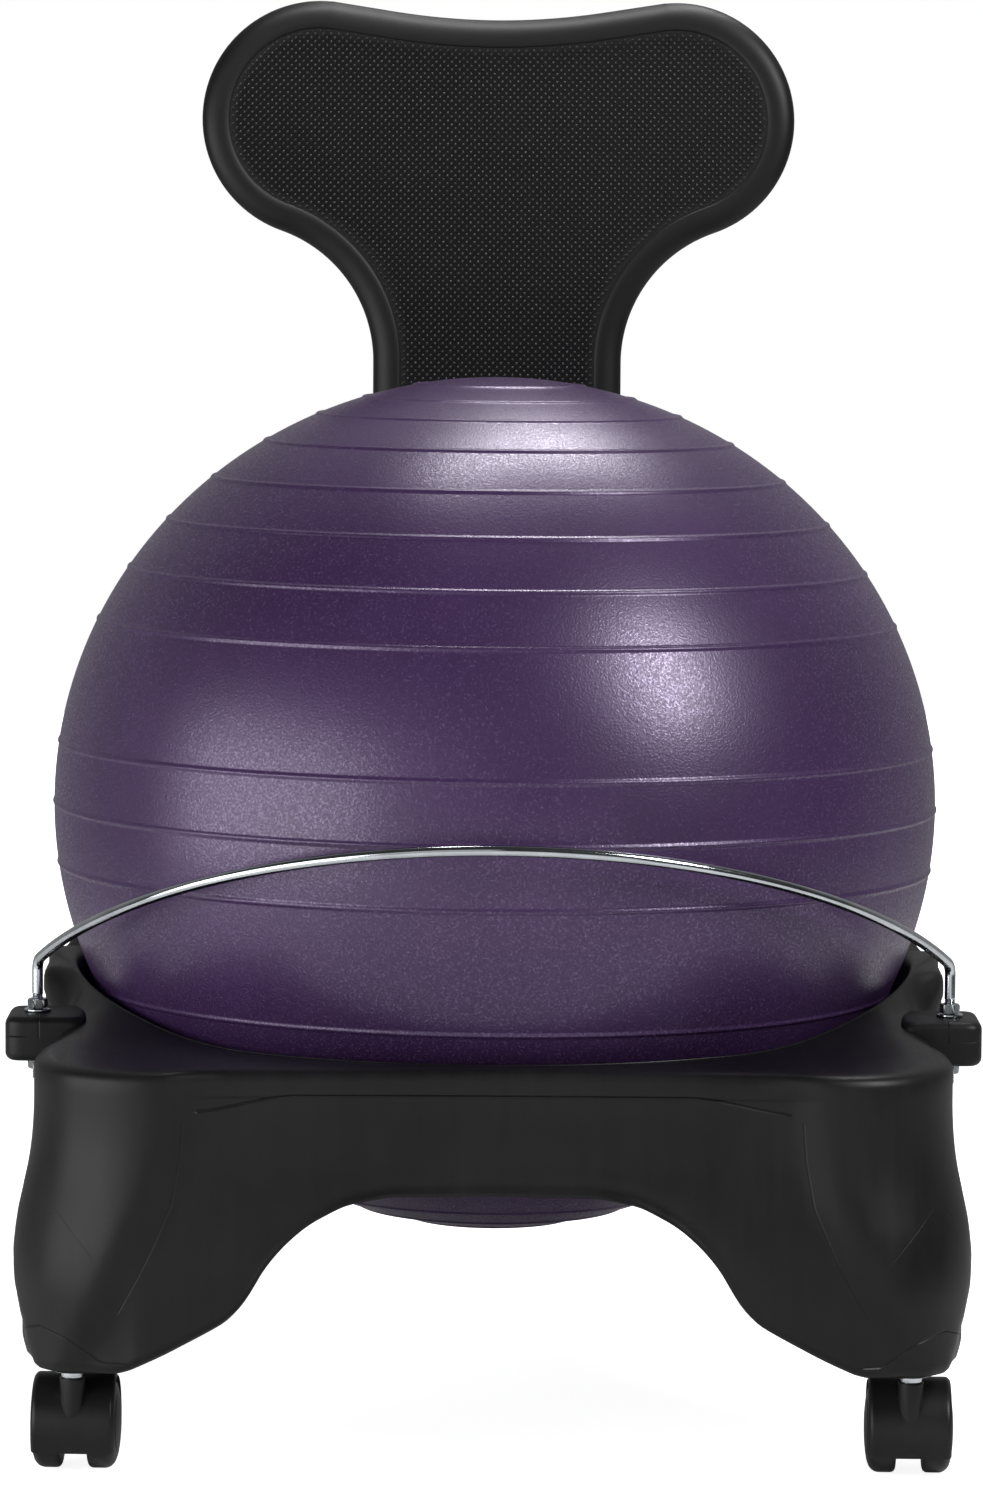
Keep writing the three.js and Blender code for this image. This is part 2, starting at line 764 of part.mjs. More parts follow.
function washer(outerRadius, innerRadius, thickness, low) {
  const high = low + thickness;
  return turned([
    [innerRadius, low], [outerRadius, low], [outerRadius, high], [innerRadius, high], [innerRadius, low],
  ], smallSides);
}

function addBarFasteners() {
  const lugBottom = lugTop - lugHeight;
  const hole = barRadius + pieceGap;
  for (const [side, name] of [[-1, 'left'], [1, 'right']]) {
    const stack = new THREE.Group();
    stack.position.set(side * barHalfSpan, -barEndDepth, 0);
    chair.add(stack);
    const upperWasher = lugTop + pieceGap;
    const upperNut = upperWasher + washerThickness + pieceGap;
    const lowerWasher = lugBottom - pieceGap - washerThickness;
    const lowerNut = lowerWasher - pieceGap - nutHeight;
    const upperRing = washer(washerRadius, hole, washerThickness, upperWasher);
    const lowerRing = washer(washerRadius, hole, washerThickness, lowerWasher);
    addPiece(stack, `bar_washer_upper_${name}`, upperRing, 'zincSteel');
    addPiece(stack, `bar_nut_upper_${name}`, makeNut(upperNut), 'zincSteel');
    addPiece(stack, `bar_washer_lower_${name}`, lowerRing, 'zincSteel');
    addPiece(stack, `bar_nut_lower_${name}`, makeNut(lowerNut), 'zincSteel');
  }
}

// Backrest: rings of points between its outline and a line through its middle

// The right half of the outline from the bottom up, each with its outward normal and middle point
function halfOutline() {
  const rows = [];
  const add = (x, z, nx, nz, mx, mz) => rows.push({ x, z, nx, nz, mx, mz });
  const low = socketFloor + pieceGap;
  const postLow = low + postCorner + postHalfWidth / 2;
  add(0, low, 0, -1, 0, postLow);
  add(postHalfWidth / 2, low, 0, -1, 0, postLow);
  const cornerSteps = 3;
  for (let i = 0; i <= cornerSteps; i += 1) {
    const turn = (i / cornerSteps - 1) * (Math.PI / 2);
    const [c, s] = [Math.cos(turn), Math.sin(turn)];
    const x = postHalfWidth - postCorner + postCorner * c;
    add(x, low + postCorner + postCorner * s, c, s, 0, postLow);
  }
  const waistAcross = postHalfWidth + waistRadius;
  const between = lobeRadius + waistRadius;
  const waistDrop = Math.sqrt(between ** 2 - (waistAcross - lobeAcross) ** 2);
  const waistHeight = lobeHeight - waistDrop;
  const postSteps = 5;
  for (let i = 0; i < postSteps; i += 1) {
    const z = mix(postLow, waistHeight, i / postSteps);
    add(postHalfWidth, z, 1, 0, 0, z);
  }
  const waistTurn = Math.acos((waistAcross - lobeAcross) / between);
  const waistSteps = 8;
  for (let i = 0; i < waistSteps; i += 1) {
    const share = i / waistSteps;
    const turn = Math.PI - waistTurn * share;
    const [c, s] = [Math.cos(turn), Math.sin(turn)];
    const across = Math.max(0, share * 2 - 1) * lobeAcross;
    const up = mix(waistHeight, lobeHeight, Math.min(1, share * 2));
    add(waistAcross + waistRadius * c, waistHeight + waistRadius * s, -c, -s, across, up);
  }
  const lobeFrom = -waistTurn;
  const lobeTo = Math.PI / 2 + THREE.MathUtils.degToRad(topSlopeDegrees);
  const lobeSteps = 14;
  for (let i = 0; i <= lobeSteps; i += 1) {
    const turn = mix(lobeFrom, lobeTo, i / lobeSteps);
    const [c, s] = [Math.cos(turn), Math.sin(turn)];
    add(lobeAcross + lobeRadius * c, lobeHeight + lobeRadius * s, c, s, lobeAcross, lobeHeight);
  }
  const slope = THREE.MathUtils.degToRad(topSlopeDegrees);
  const edge = rows[rows.length - 1];
  const dipHalf = dipRadius * Math.sin(slope);
  for (let i = 3; i >= 0; i -= 1) {
    const across = (i / 4) * lobeAcross;
    const straight = edge.z - (edge.x - across) * Math.tan(slope);
    const lift = across < dipHalf ? (dipHalf - across) ** 2 / (2 * dipRadius) : 0;
    const lean = across > 0 ? slope : 0;
    add(across, straight + lift, -Math.sin(lean), Math.cos(lean), across, lobeHeight);
  }
  return rows;
}

function backOutline() {
  const right = halfOutline();
  const left = right.slice(1, -1).reverse().map((p) => ({ ...p, x: -p.x, nx: -p.nx, mx: -p.mx }));
  return [...right, ...left];
}

// Wings come forward and the top leans back, above the straight post
function bent(x, depth, z) {
  const share = smooth((z - bendStart) / bendRun);
  const widest = lobeAcross + lobeRadius;
  const rise = Math.max(0, z - bendStart) / (lobeHeight + lobeRadius - bendStart);
  const shift = leanBack * rise * rise - wingForward * share * (x / widest) ** 2;
  return new THREE.Vector3(x, backFront + backThickness / 2 + depth + shift, z);
}

// Rings from the front's middle line, over the rounded border, to the back's middle line
function backRings(half) {
  const roundSteps = 2;
  const rings = [{ middle: 1, depth: -half + panelRecess }, { middle: 0.5, depth: -half + panelRecess }];
  rings.push({ inset: borderWidth, depth: -half + panelRecess }, { inset: borderWidth - panelRecess, depth: -half });
  for (let i = 0; i <= 2 * roundSteps; i += 1) {
    const turn = (i / (2 * roundSteps)) * Math.PI;
    rings.push({ inset: borderRound * (1 - Math.sin(turn)), depth: -half * Math.cos(turn) });
  }
  rings.push({ inset: borderWidth, depth: half }, { middle: 0.5, depth: half }, { middle: 1, depth: half });
  return rings;
}

function ringPoint(p, ring) {
  if (ring.inset !== undefined) return bent(p.x - p.nx * ring.inset, ring.depth, p.z - p.nz * ring.inset);
  const x = mix(p.x - p.nx * borderWidth, p.mx, ring.middle);
  return bent(x, ring.depth, mix(p.z - p.nz * borderWidth, p.mz, ring.middle));
}

function makeBackrest() {
  const outline = backOutline();
  const half = backThickness / 2;
  const rings = backRings(half).map((ring) => outline.map((p) => ringPoint(p, ring)));
  const across = outline.length;
  const positions = rings.flat().flatMap((v) => [v.x, v.y, v.z]);
  const index = [];
  for (let i = 0; i < rings.length - 1; i += 1) {
    for (let j = 0; j < across; j += 1) {
      const side = (j + 1) % across;
      const [a, b] = [i * across + j, i * across + side];
      const [c, d] = [(i + 1) * across + side, (i + 1) * across + j];
      index.push(a, b, c, a, c, d);
    }
  }
  const geometry = new THREE.BufferGeometry();
  geometry.setAttribute('position', new THREE.Float32BufferAttribute(positions, 3));
  geometry.setIndex(index);
  const cuts = [-1, 1].map((side) => {
    const pocket = cylinder(insertRadius + pieceGap, 0, insertLength + pieceGap + overrun);
    const start = backFront + backThickness - insertLength - pieceGap;
    return pocket.rotateX(-Math.PI / 2).translate(side * boltAcross, start, boltHeight);
  });
  return toGeometry(lessCuts(toSolid(geometry), ...cuts));
}

function addBackFasteners() {
  const back = backFront + backThickness;
  for (const [side, name] of [[-1, 'left'], [1, 'right']]) {
    const bolted = new THREE.Group();
    bolted.position.set(side * boltAcross, 0, boltHeight);
    bolted.rotation.x = -Math.PI / 2;
    chair.add(bolted);
    const insertLow = back - insertLength;
    const insert = washer(insertRadius, boltRadius + pieceGap, insertLength - pieceGap, insertLow);
    addPiece(bolted, `threaded_insert_${name}`, insert, 'brass');
    const washerLow = towerFace + pieceGap;
    const ring = washer(boltWasherRadius, boltRadius + boltClearance, boltWasherThickness, washerLow);
    addPiece(bolted, `back_bolt_washer_${name}`, ring, 'blackSteel');
    const headLow = washerLow + boltWasherThickness + pieceGap;
    addPiece(bolted, `back_bolt_${name}`, makeBolt(insertLow + pieceGap, headLow), 'blackSteel');
  }
}

// Button head with a six-sided key socket
function makeBolt(tip, headLow) {
  const headHigh = headLow + boltHeadHeight;
  const body = turned([
    [0, tip], [boltRadius, tip], [boltRadius, headLow], [boltHeadRadius, headLow],
    [boltHeadRadius, headLow + boltHeadHeight * 0.3],
    [boltHeadRadius * 0.86, headLow + boltHeadHeight * 0.75],
    [boltHeadRadius * 0.58, headHigh], [0, headHigh],
  ], smallSides);
  const key = cylinder(boltKeyRadius, headHigh - boltKeyDepth, headHigh + overrun, 6);
  return toGeometry(lessCuts(toSolid(body), key));
}

// Casters. Each is made about its stem, with the wheels trailing behind

const wheelFlat = wheelRadius * Math.cos(Math.PI / wheelSides);
const collarTop = footHeight - socketFlangeHeight - 2 * pieceGap;
const collarLow = collarTop - stemCollarHeight;
const stemHigh = footHeight + stemLength;

function makeStem() {
  const grooveHigh = stemHigh - ringDrop;
  const grooveLow = grooveHigh - ringHeight - pieceGap;
  const groove = stemRadius - ringDepth;
  return turned([
    [0, stemBottom], [stemRadius, stemBottom], [stemRadius, collarLow], [stemCollarRadius, collarLow],
    [stemCollarRadius, collarTop], [stemRadius, collarTop], [stemRadius, grooveLow], [groove, grooveLow],
    [groove, grooveHigh], [stemRadius, grooveHigh], [stemRadius, stemHigh - stemRadius / 3],
    [stemRadius * 0.6, stemHigh], [0, stemHigh],
  ], smallSides);
}

// A split spring ring in the stem's groove
function makeGripRing() {
  const low = stemHigh - ringDrop - ringHeight - pieceGap / 2;
  const inner = stemRadius - ringDepth + pieceGap;
  const outer = stemRadius + turningGap / 3;
  const shape = new THREE.Shape();
  const openTurn = 0.35;
  shape.absarc(0, 0, outer, openTurn, 2 * Math.PI - openTurn);
  shape.absarc(0, 0, inner, 2 * Math.PI - openTurn, openTurn, true);
  const ring = new THREE.ExtrudeGeometry(shape, { depth: ringHeight, bevelEnabled: false, curveSegments: 8 });
  return ring.translate(0, 0, low);
}

function makeSocket() {
  const inner = stemRadius + turningGap;
  const flange = footHeight - pieceGap;
  const low = flange - socketFlangeHeight;
  const high = footHeight + socketLength;
  return turned([
    [inner, low], [socketRadius + socketFlange, low], [socketRadius + socketFlange, flange],
    [socketRadius, flange], [socketRadius, high], [0, high], [0, high - socketWall], [inner, high - socketWall],
    [inner, low],
  ], smallSides);
}

function alongX(geometry) {
  return geometry.rotateY(Math.PI / 2);
}

function makeWheel(side) {
  const bore = axleRadius + turningGap;
  const boreEnd = axleHalfLength + pieceGap;
  const outer = wheelOuter - wheelDish;
  const wheel = turned([
    [0, wheelOuter], [wheelRadius * 0.45, wheelOuter - wheelDish / 5], [wheelRadius * 0.86, outer],
    [wheelRadius, outer - 2 * wheelEdge], [wheelRadius, wheelInner + wheelEdge],
    [wheelRadius - wheelEdge, wheelInner], [bore, wheelInner], [bore, boreEnd], [0, boreEnd],
  ], wheelSides);
  wheel.rotateZ(Math.PI / wheelSides);
  alongX(wheel);
  if (side < 0) wheel.rotateZ(Math.PI);
  return wheel.translate(0, casterTrail, wheelFlat);
}

function makeAxle() {
  const axle = alongX(cylinder(axleRadius, -axleHalfLength, axleHalfLength, 12));
  return axle.translate(0, casterTrail, wheelFlat);
}

// Point on the hood's cover, by its angle from straight up towards the rear
function coverPoint(radius, angle) {
  return new THREE.Vector2(casterTrail + radius * Math.sin(angle), wheelFlat + radius * Math.cos(angle));
}

// A shape drawn in the Y-Z plane, extruded along X
function sideShape(points, halfWidth) {
  const shape = new THREE.Shape(points);
  const body = new THREE.ExtrudeGeometry(shape, { depth: 2 * halfWidth, bevelEnabled: false });
  body.translate(0, 0, -halfWidth);
  body.rotateX(Math.PI / 2);
  return body.rotateZ(Math.PI / 2);
}

function hoodCover() {
  const inner = hoodRadius - hoodWall;
  const front = -Math.acos((hoodFrontHeight - wheelFlat) / hoodRadius);
  const rear = Math.acos((hoodRearHeight - wheelFlat) / hoodRadius);
  const points = [];
  for (let i = 0; i <= hoodSteps; i += 1) points.push(coverPoint(hoodRadius, mix(front, rear, i / hoodSteps)));
  for (let i = 0; i <= hoodSteps; i += 1) points.push(coverPoint(inner, mix(rear, front, i / hoodSteps)));
  return sideShape(points, hoodHalfWidth);
}

function hoodWeb() {
  const low = -Math.acos((hoodFrontHeight - wheelFlat) / hoodRadius);
  const middle = hoodRadius - hoodWall / 2;
  const rear = Math.acos((hoodRearHeight - wheelFlat) / hoodRadius);
  const points = [];
  for (let i = 0; i <= hoodSteps; i += 1) points.push(coverPoint(middle, mix(low, rear, i / hoodSteps)));
  points.push(coverPoint(middle * 0.5, rear * 1.35));
  points.push(coverPoint(middle * 0.5, low * 1.2));
  return sideShape(points, webHalfWidth);
}

const pivot = coverPoint(hoodRadius + leverBarrel + leverLift, THREE.MathUtils.degToRad(leverAngle));

function leverEars() {
  const ears = [];
  const base = coverPoint(hoodRadius - hoodWall / 2, THREE.MathUtils.degToRad(leverAngle));
  const out = pivot.clone().sub(base).normalize();
  const along = new THREE.Vector2(out.y, -out.x).multiplyScalar(leverBarrel);
  const top = pivot.clone().addScaledVector(out, leverBarrel);
  const points = [
    base.clone().addScaledVector(along, -1.3), base.clone().addScaledVector(along, 1.3),
    top.clone().addScaledVector(along, 0.7), top.clone().addScaledVector(along, -0.7),
  ];
  for (const side of [-1, 1]) {
    const ear = sideShape(points, leverEar / 2);
    ears.push(ear.translate(side * (leverHalfWidth + turningGap + leverEar / 2), 0, 0));
  }
  return ears;
}

function acrossPin(radius, halfLength) {
  return alongX(cylinder(radius, -halfLength, halfLength, 12)).translate(0, pivot.x, pivot.y);
}

function makeHood(hasBrake) {
  const boss = cylinder(bossRadius, hoodFrontHeight + hoodWall, collarLow - pieceGap);
  const hub = alongX(cylinder(axleRadius * 2.2, -webHalfWidth, webHalfWidth)).translate(0, casterTrail, wheelFlat);
  const ears = hasBrake ? leverEars() : [];
  const body = joined(hoodCover(), hoodWeb(), boss, hub, ...ears);
  const bores = [
    cylinder(stemRadius + turningGap, stemBottom - pieceGap, collarLow + overrun),
    alongX(cylinder(axleRadius + pieceGap, -hoodHalfWidth, hoodHalfWidth)).translate(0, casterTrail, wheelFlat),
  ];
  if (hasBrake) bores.push(acrossPin(leverPinRadius + turningGap, leverHalfWidth + turningGap + leverEar * 2));
  return toGeometry(lessCuts(body, ...bores));
}

// A flat arm that runs rearwards and slightly down from its barrel
function makeLever() {
  const tilt = THREE.MathUtils.degToRad(leverTipTilt);
  const along = new THREE.Vector2(Math.cos(tilt), -Math.sin(tilt));
  const thick = new THREE.Vector2(Math.sin(tilt), Math.cos(tilt)).multiplyScalar(leverThickness / 2);
  const tip = pivot.clone().addScaledVector(along, leverLength);
  const arm = sideShape([
    pivot.clone().sub(thick), tip.clone().sub(thick), tip.clone().add(thick), pivot.clone().add(thick),
  ], leverHalfWidth);
  const barrel = acrossPin(leverBarrel, leverHalfWidth);
  const trunnion = acrossPin(leverPinRadius, leverHalfWidth + turningGap + leverEar - pieceGap);
  return toGeometry(joined(arm, barrel, trunnion));
}

function addCasters() {
  const names = ['front_left', 'front_right', 'rear_left', 'rear_right'];
  stemPlaces().forEach(({ across, depth }, i) => {
    const name = names[i];
    const isRear = depth > 0;
    const still = new THREE.Group();
    still.position.set(across, depth, 0);
    chair.add(still);
    addPiece(still, `caster_socket_${name}`, makeSocket(), 'zincSteel');
    const caster = new THREE.Group();
    caster.rotation.z = THREE.MathUtils.degToRad(casterYawDegrees[i]);
    still.add(caster);
    addPiece(caster, `caster_stem_${name}`, makeStem(), 'zincSteel');
    addPiece(caster, `stem_grip_ring_${name}`, makeGripRing(), 'zincSteel');
    addPiece(caster, `caster_hood_${name}`, makeHood(isRear), 'casterPlastic');
    addPiece(caster, `caster_axle_${name}`, makeAxle(), 'zincSteel');
    addPiece(caster, `wheel_${name}_l`, makeWheel(-1), 'casterPlastic');
    addPiece(caster, `wheel_${name}_r`, makeWheel(1), 'casterPlastic');
    if (isRear) addPiece(caster, `brake_lever_${name}`, makeLever(), 'casterPlastic');
  });
}

addPiece(chair, 'base_shell', makeBase(), 'basePlastic');
addPiece(chair, 'ball', makeBall(), 'ballSkin');
addPiece(chair, 'valve_plug', makeValvePlug(), 'plugRubber');
addPiece(chair, 'retaining_bar', makeBar(), 'zincSteel');
addBarFasteners();
addPiece(chair, 'backrest', makeBackrest(), 'backPlastic');
addBackFasteners();
addCasters();

// The plan's middle goes to the origin
const extent = new THREE.Box3().setFromObject(chair);
chair.position.y = -(extent.min.y + extent.max.y) / 2;

export default chair;
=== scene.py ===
import math

import bmesh
import bpy
import numpy as np
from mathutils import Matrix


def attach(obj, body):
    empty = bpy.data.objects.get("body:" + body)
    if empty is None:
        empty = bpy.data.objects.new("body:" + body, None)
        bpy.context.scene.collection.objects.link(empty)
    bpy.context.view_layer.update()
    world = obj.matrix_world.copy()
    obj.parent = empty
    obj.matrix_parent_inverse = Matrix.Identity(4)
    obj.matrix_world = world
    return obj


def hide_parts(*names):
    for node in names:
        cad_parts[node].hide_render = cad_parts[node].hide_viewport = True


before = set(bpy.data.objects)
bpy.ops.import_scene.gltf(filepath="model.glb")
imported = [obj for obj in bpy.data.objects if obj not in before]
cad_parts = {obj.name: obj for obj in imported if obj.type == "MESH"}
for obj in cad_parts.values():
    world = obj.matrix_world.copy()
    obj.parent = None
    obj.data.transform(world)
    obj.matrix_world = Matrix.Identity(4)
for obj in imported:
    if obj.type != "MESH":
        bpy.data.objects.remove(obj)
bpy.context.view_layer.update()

centreY = -0.013771  # the ball's axis, seen from the origin under the plan's middle


# Small curves and meshes shared by the pieces

def smooth(share):
    # 3s^2 - 2s^3 between 0 and 1
    s = np.clip(share, 0, 1)
    return s * s * (3 - 2 * s)


def ramp(value, start, run):
    # 0 up to start, 1 from start + run on
    return smooth((value - start) / run)


def mix(a, b, share):
    return a + (b - a) * share


def roundLoop(corners, radii, steps=5, edgeShare=0.48):
    # Each corner of a closed outline becomes a quadratic curve that starts and ends one radius away along its
    # two edges, or at a share of an edge where the radius is longer. corners is (..., K, 2) and radii (..., K).
    before = np.roll(corners, 1, axis=-2) - corners
    after = np.roll(corners, -1, axis=-2) - corners
    lengthBefore = np.linalg.norm(before, axis=-1) + 1e-12
    lengthAfter = np.linalg.norm(after, axis=-1) + 1e-12
    start = corners + before * np.minimum(radii / lengthBefore, edgeShare)[..., None]
    end = corners + after * np.minimum(radii / lengthAfter, edgeShare)[..., None]
    t = np.linspace(0, 1, steps + 1).reshape((1,) * (corners.ndim - 1) + (-1, 1))
    curve = (1 - t) ** 2 * start[..., None, :] + 2 * t * (1 - t) * corners[..., None, :] + t ** 2 * end[..., None, :]
    return curve.reshape(corners.shape[:-2] + (-1, 2))


def linked(name, data):
    thing = bpy.data.objects.new(name, data)
    bpy.context.scene.collection.objects.link(thing)
    return thing


def smoothPiece(name, mesh, sharpDegrees):
    # An object shaded smooth, apart from its edges past an angle
    mesh.polygons.foreach_set("use_smooth", np.ones(len(mesh.polygons), bool))
    mesh.set_sharp_from_angle(angle=math.radians(sharpDegrees))
    return linked(name, mesh)


def gridMesh(name, points, wrapRows=False, fields=None, sharpDegrees=38, mergeDistance=2e-6):
    # Quads between neighbouring rows and columns of an (m, n, 3) grid whose columns close on themselves, with
    # doubles merged and faces outwards
    rows, columns = points.shape[:2]
    i = np.arange(rows if wrapRows else rows - 1)[:, None]
    j = np.arange(columns)[None, :]
    iNext, jNext = (i + 1) % rows, (j + 1) % columns
    quads = np.stack([i * columns + j, iNext * columns + j, iNext * columns + jNext, i * columns + jNext], -1)
    quads = quads.reshape(-1, 4)
    flat = points.reshape(-1, 3)
    a, b, c, d = (flat[quads[:, k]] for k in range(4))
    volume = np.einsum("ij,ij->", a, np.cross(b, c)) + np.einsum("ij,ij->", a, np.cross(c, d))
    if volume < 0:
        quads = quads[:, ::-1]
    mesh = bpy.data.meshes.new(name)
    mesh.from_pydata(flat.tolist(), [], quads.tolist())
    for field, values in (fields or {}).items():
        layer = mesh.attributes.new(field, "FLOAT", "POINT")
        layer.data.foreach_set("value", np.broadcast_to(values, (rows, columns)).astype(np.float32).ravel())
    shape = bmesh.new()
    shape.from_mesh(mesh)
    bmesh.ops.remove_doubles(shape, verts=shape.verts, dist=mergeDistance)
    shape.to_mesh(mesh)
    shape.free()
    return smoothPiece(name, mesh, sharpDegrees)


def circle(steps):
    return np.linspace(0, 2 * math.pi, steps, endpoint=False)


def turned(rows, sides, steps=4):
    # Rows of (radius, height, rounding), an open profile with rounded inner corners, turned about Z:
    # (r cos a, r sin a, h)
    table, turn = np.asarray(rows, float), circle(sides)
    curve = roundLoop(table[:, :2], table[:, 2], steps).reshape(len(table), steps + 1, 2)
    profile = np.concatenate([table[:1, :2], curve[1:-1].reshape(-1, 2), table[-1:, :2]])
    radius, height = profile[:, 0][:, None], profile[:, 1][:, None]
    return np.stack([radius * np.cos(turn), radius * np.sin(turn), height + 0 * turn], -1)


def placed(points, spin=0.0, at=(0, 0, 0)):
    # Turned about Z by spin radians, then moved to a place
    c, s = math.cos(spin), math.sin(spin)
    x, y, z = (points[..., k] for k in range(3))
    return np.stack([x * c - y * s, x * s + y * c, z], -1) + np.asarray(at, float)


def facingSide(points, depth, height, side=1):
    # Z becomes X, so a turned piece lies across the chair
    return np.stack([points[..., 2] * side, points[..., 1] + depth, -points[..., 0] + height], -1)


def ringAt(radius, a, height):
    return np.column_stack([radius * np.cos(a), radius * np.sin(a), np.full_like(a, height)])


def hexReach(apothem, a):
    # Distance to a hexagon's flats: the apothem / cos of the angle off a flat's middle
    return apothem / np.cos((a + math.pi / 6) % (math.pi / 3) - math.pi / 6)


def capped(rows):
    # A grid closed at both ends by a row that lies at the middle of its end row
    first, last = (np.broadcast_to(rows[k].mean(0), rows[:1].shape) for k in (0, -1))
    return np.concatenate([first, rows, last])


def paint(piece, material):
    piece.data.materials.clear()
    piece.data.materials.append(material)


def dress(piece, material, body, slot, *nodes):
    # Material and body, and the CAD nodes the piece stands for; the slot argument is not used
    paint(piece, material)
    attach(piece, body)
    if nodes:
        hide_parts(*nodes)
    return piece


def standIn(name, points, material, body, slot, sharpDegrees=38, **more):
    # A form that stands for the CAD node of the same name
    return dress(gridMesh(name + "_form", points, sharpDegrees=sharpDegrees, **more), material, body, slot, name)


bothSides = (-1, "left"), (1, "right")


# Materials

def feed(node, inputs):
    # An input is linked where its value is another node's output, and set otherwise
    for name, value in inputs.items():
        if hasattr(value, "is_linked"):
            node.id_data.links.new(value, node.inputs[name])
        else:
            node.inputs[name].default_value = value


def addNode(near, kind, inputs, output=0, operation=None):
    # A node in the same tree as another node or socket
    node = near.id_data.nodes.new("ShaderNode" + kind)
    if operation:
        node.operation = operation
    feed(node, inputs)
    return node.outputs[output]


def nodeMaterial(name, color, roughness, metallic=0.0):
    material = bpy.data.materials.new(name)
    material.use_nodes = True
    shader = material.node_tree.nodes["Principled BSDF"]
    feed(shader, {"Base Color": (*color, 1), "Roughness": roughness, "Metallic": metallic})
    return material, shader, addNode(shader, "TexCoord", {}, "Object")


def noiseNode(where, scale, detail=3.0, roughness=0.5, stretch=None):
    if stretch:
        where = addNode(where, "Mapping", {"Scale": stretch, "Vector": where})
    inputs = {"Scale": scale, "Detail": detail, "Roughness": roughness, "Vector": where}
    return addNode(where, "TexNoise", inputs, "Fac")


def mathNode(operation, *values):
    return addNode(values[0], "Math", dict(enumerate(values)), operation=operation)


def rangeNode(value, low, high, toLow, toHigh):
    inputs = {"Value": value, "From Min": low, "From Max": high, "To Min": toLow, "To Max": toHigh}
    return addNode(value, "MapRange", inputs, "Result")


def colourRamp(value, *stops):
    color = addNode(value, "ValToRGB", {"Fac": value}, "Color")
    elements = color.node.color_ramp.elements
    while len(elements) < len(stops):
        elements.new(0.5)
    for element, (place, tone) in zip(elements, stops):
        element.position = place
        element.color = (*tone, 1)
    return color


def attributeNode(near, name):
    fac = addNode(near, "Attribute", {}, "Fac")
    fac.node.attribute_name = name
    return fac


def bumpChain(shader, *layers):
    # Each layer is (height, distance in metres, strength); they are laid over one another
    under = {}
    for height, distance, strength in layers:
        bump = {"Height": height, "Distance": distance, "Strength": strength, **under}
        under = {"Normal": addNode(shader, "Bump", bump)}
    feed(shader, under)


def weighedSum(*pairs):
    # Two pairs of (value, weight)
    return mathNode("ADD", *[mathNode("MULTIPLY", *pair) for pair in pairs])


mouldedPlastic = dict(
    color=(0.0036, 0.0036, 0.0040), paler=(0.0070, 0.0070, 0.0076), colorRange=(0.38, 0.66), roughness=(0.38, 0.52),
    roughRange=(0.35, 0.7), gloss=0.21, rubbedBy=0.09, cloudScale=14, cloudShare=0.6, cloudDepth=0.0006,
    grainScale=900, grainDepth=0.00005, scuffScale=26, scuffShare=0.4, scuffDepth=0.0001, scuffStretch=(7, 0.8, 0.6),
)


def mouldedPlasticMaterial(name, v, seams=(), rubbed=None):
    # Blow-moulded polyethylene: cloudy sheen, fine grain, upright scuffs, a groove where a seam's signed distance
    # is near 0 and its fade is 0, and a smoother face where the rubbed field is 1
    material, shader, where = nodeMaterial(name, v["color"], 0.42)
    cloud = noiseNode(where, v["cloudScale"], 4, 0.55)
    scuff = noiseNode(where, v["scuffScale"], 6, 0.7, v["scuffStretch"])
    both = weighedSum((cloud, v["cloudShare"]), (scuff, v["scuffShare"]))
    paleFrom, paleTo = v["colorRange"]
    color = colourRamp(both, (paleFrom, v["color"]), (paleTo, v["paler"]))
    rough = rangeNode(both, *v["roughRange"], *v["roughness"])
    if rubbed:
        rough = mathNode("SUBTRACT", rough, mathNode("MULTIPLY", attributeNode(shader, rubbed), v["rubbedBy"]))
    feed(shader, {"Specular IOR Level": v["gloss"], "Base Color": color, "Roughness": rough})
    grain = noiseNode(where, v["grainScale"], 2, 0.5)
    layers = [(grain, v["grainDepth"], 0.5), (cloud, v["cloudDepth"], 0.25), (scuff, v["scuffDepth"], 0.3)]
    for field, width, depth in seams:
        distance = mathNode("ABSOLUTE", attributeNode(shader, field))
        off = mathNode("ADD", distance, attributeNode(shader, field + "Fade"))
        layers.append((rangeNode(off, 0, width, 0, 1), depth, 1.0))
    bumpChain(shader, *layers)
    return material


backPlastic = dict(
    border=(0.0036, 0.0036, 0.0040), panel=(0.0016, 0.0016, 0.0018), paintedDotGlint=(0.026, 0.026, 0.028),
    panelRoughness=0.32, borderRoughness=0.46, cloudRoughness=0.06, cloudScale=18, gloss=0.28, dotPitch=0.0048,
    dotRise=0.0010, dotRange=(0.25, 0.9), panelRange=(0.0005, 0.0055), panelShade=0.3, grainScale=1100,
    grainDepth=0.00004,
)


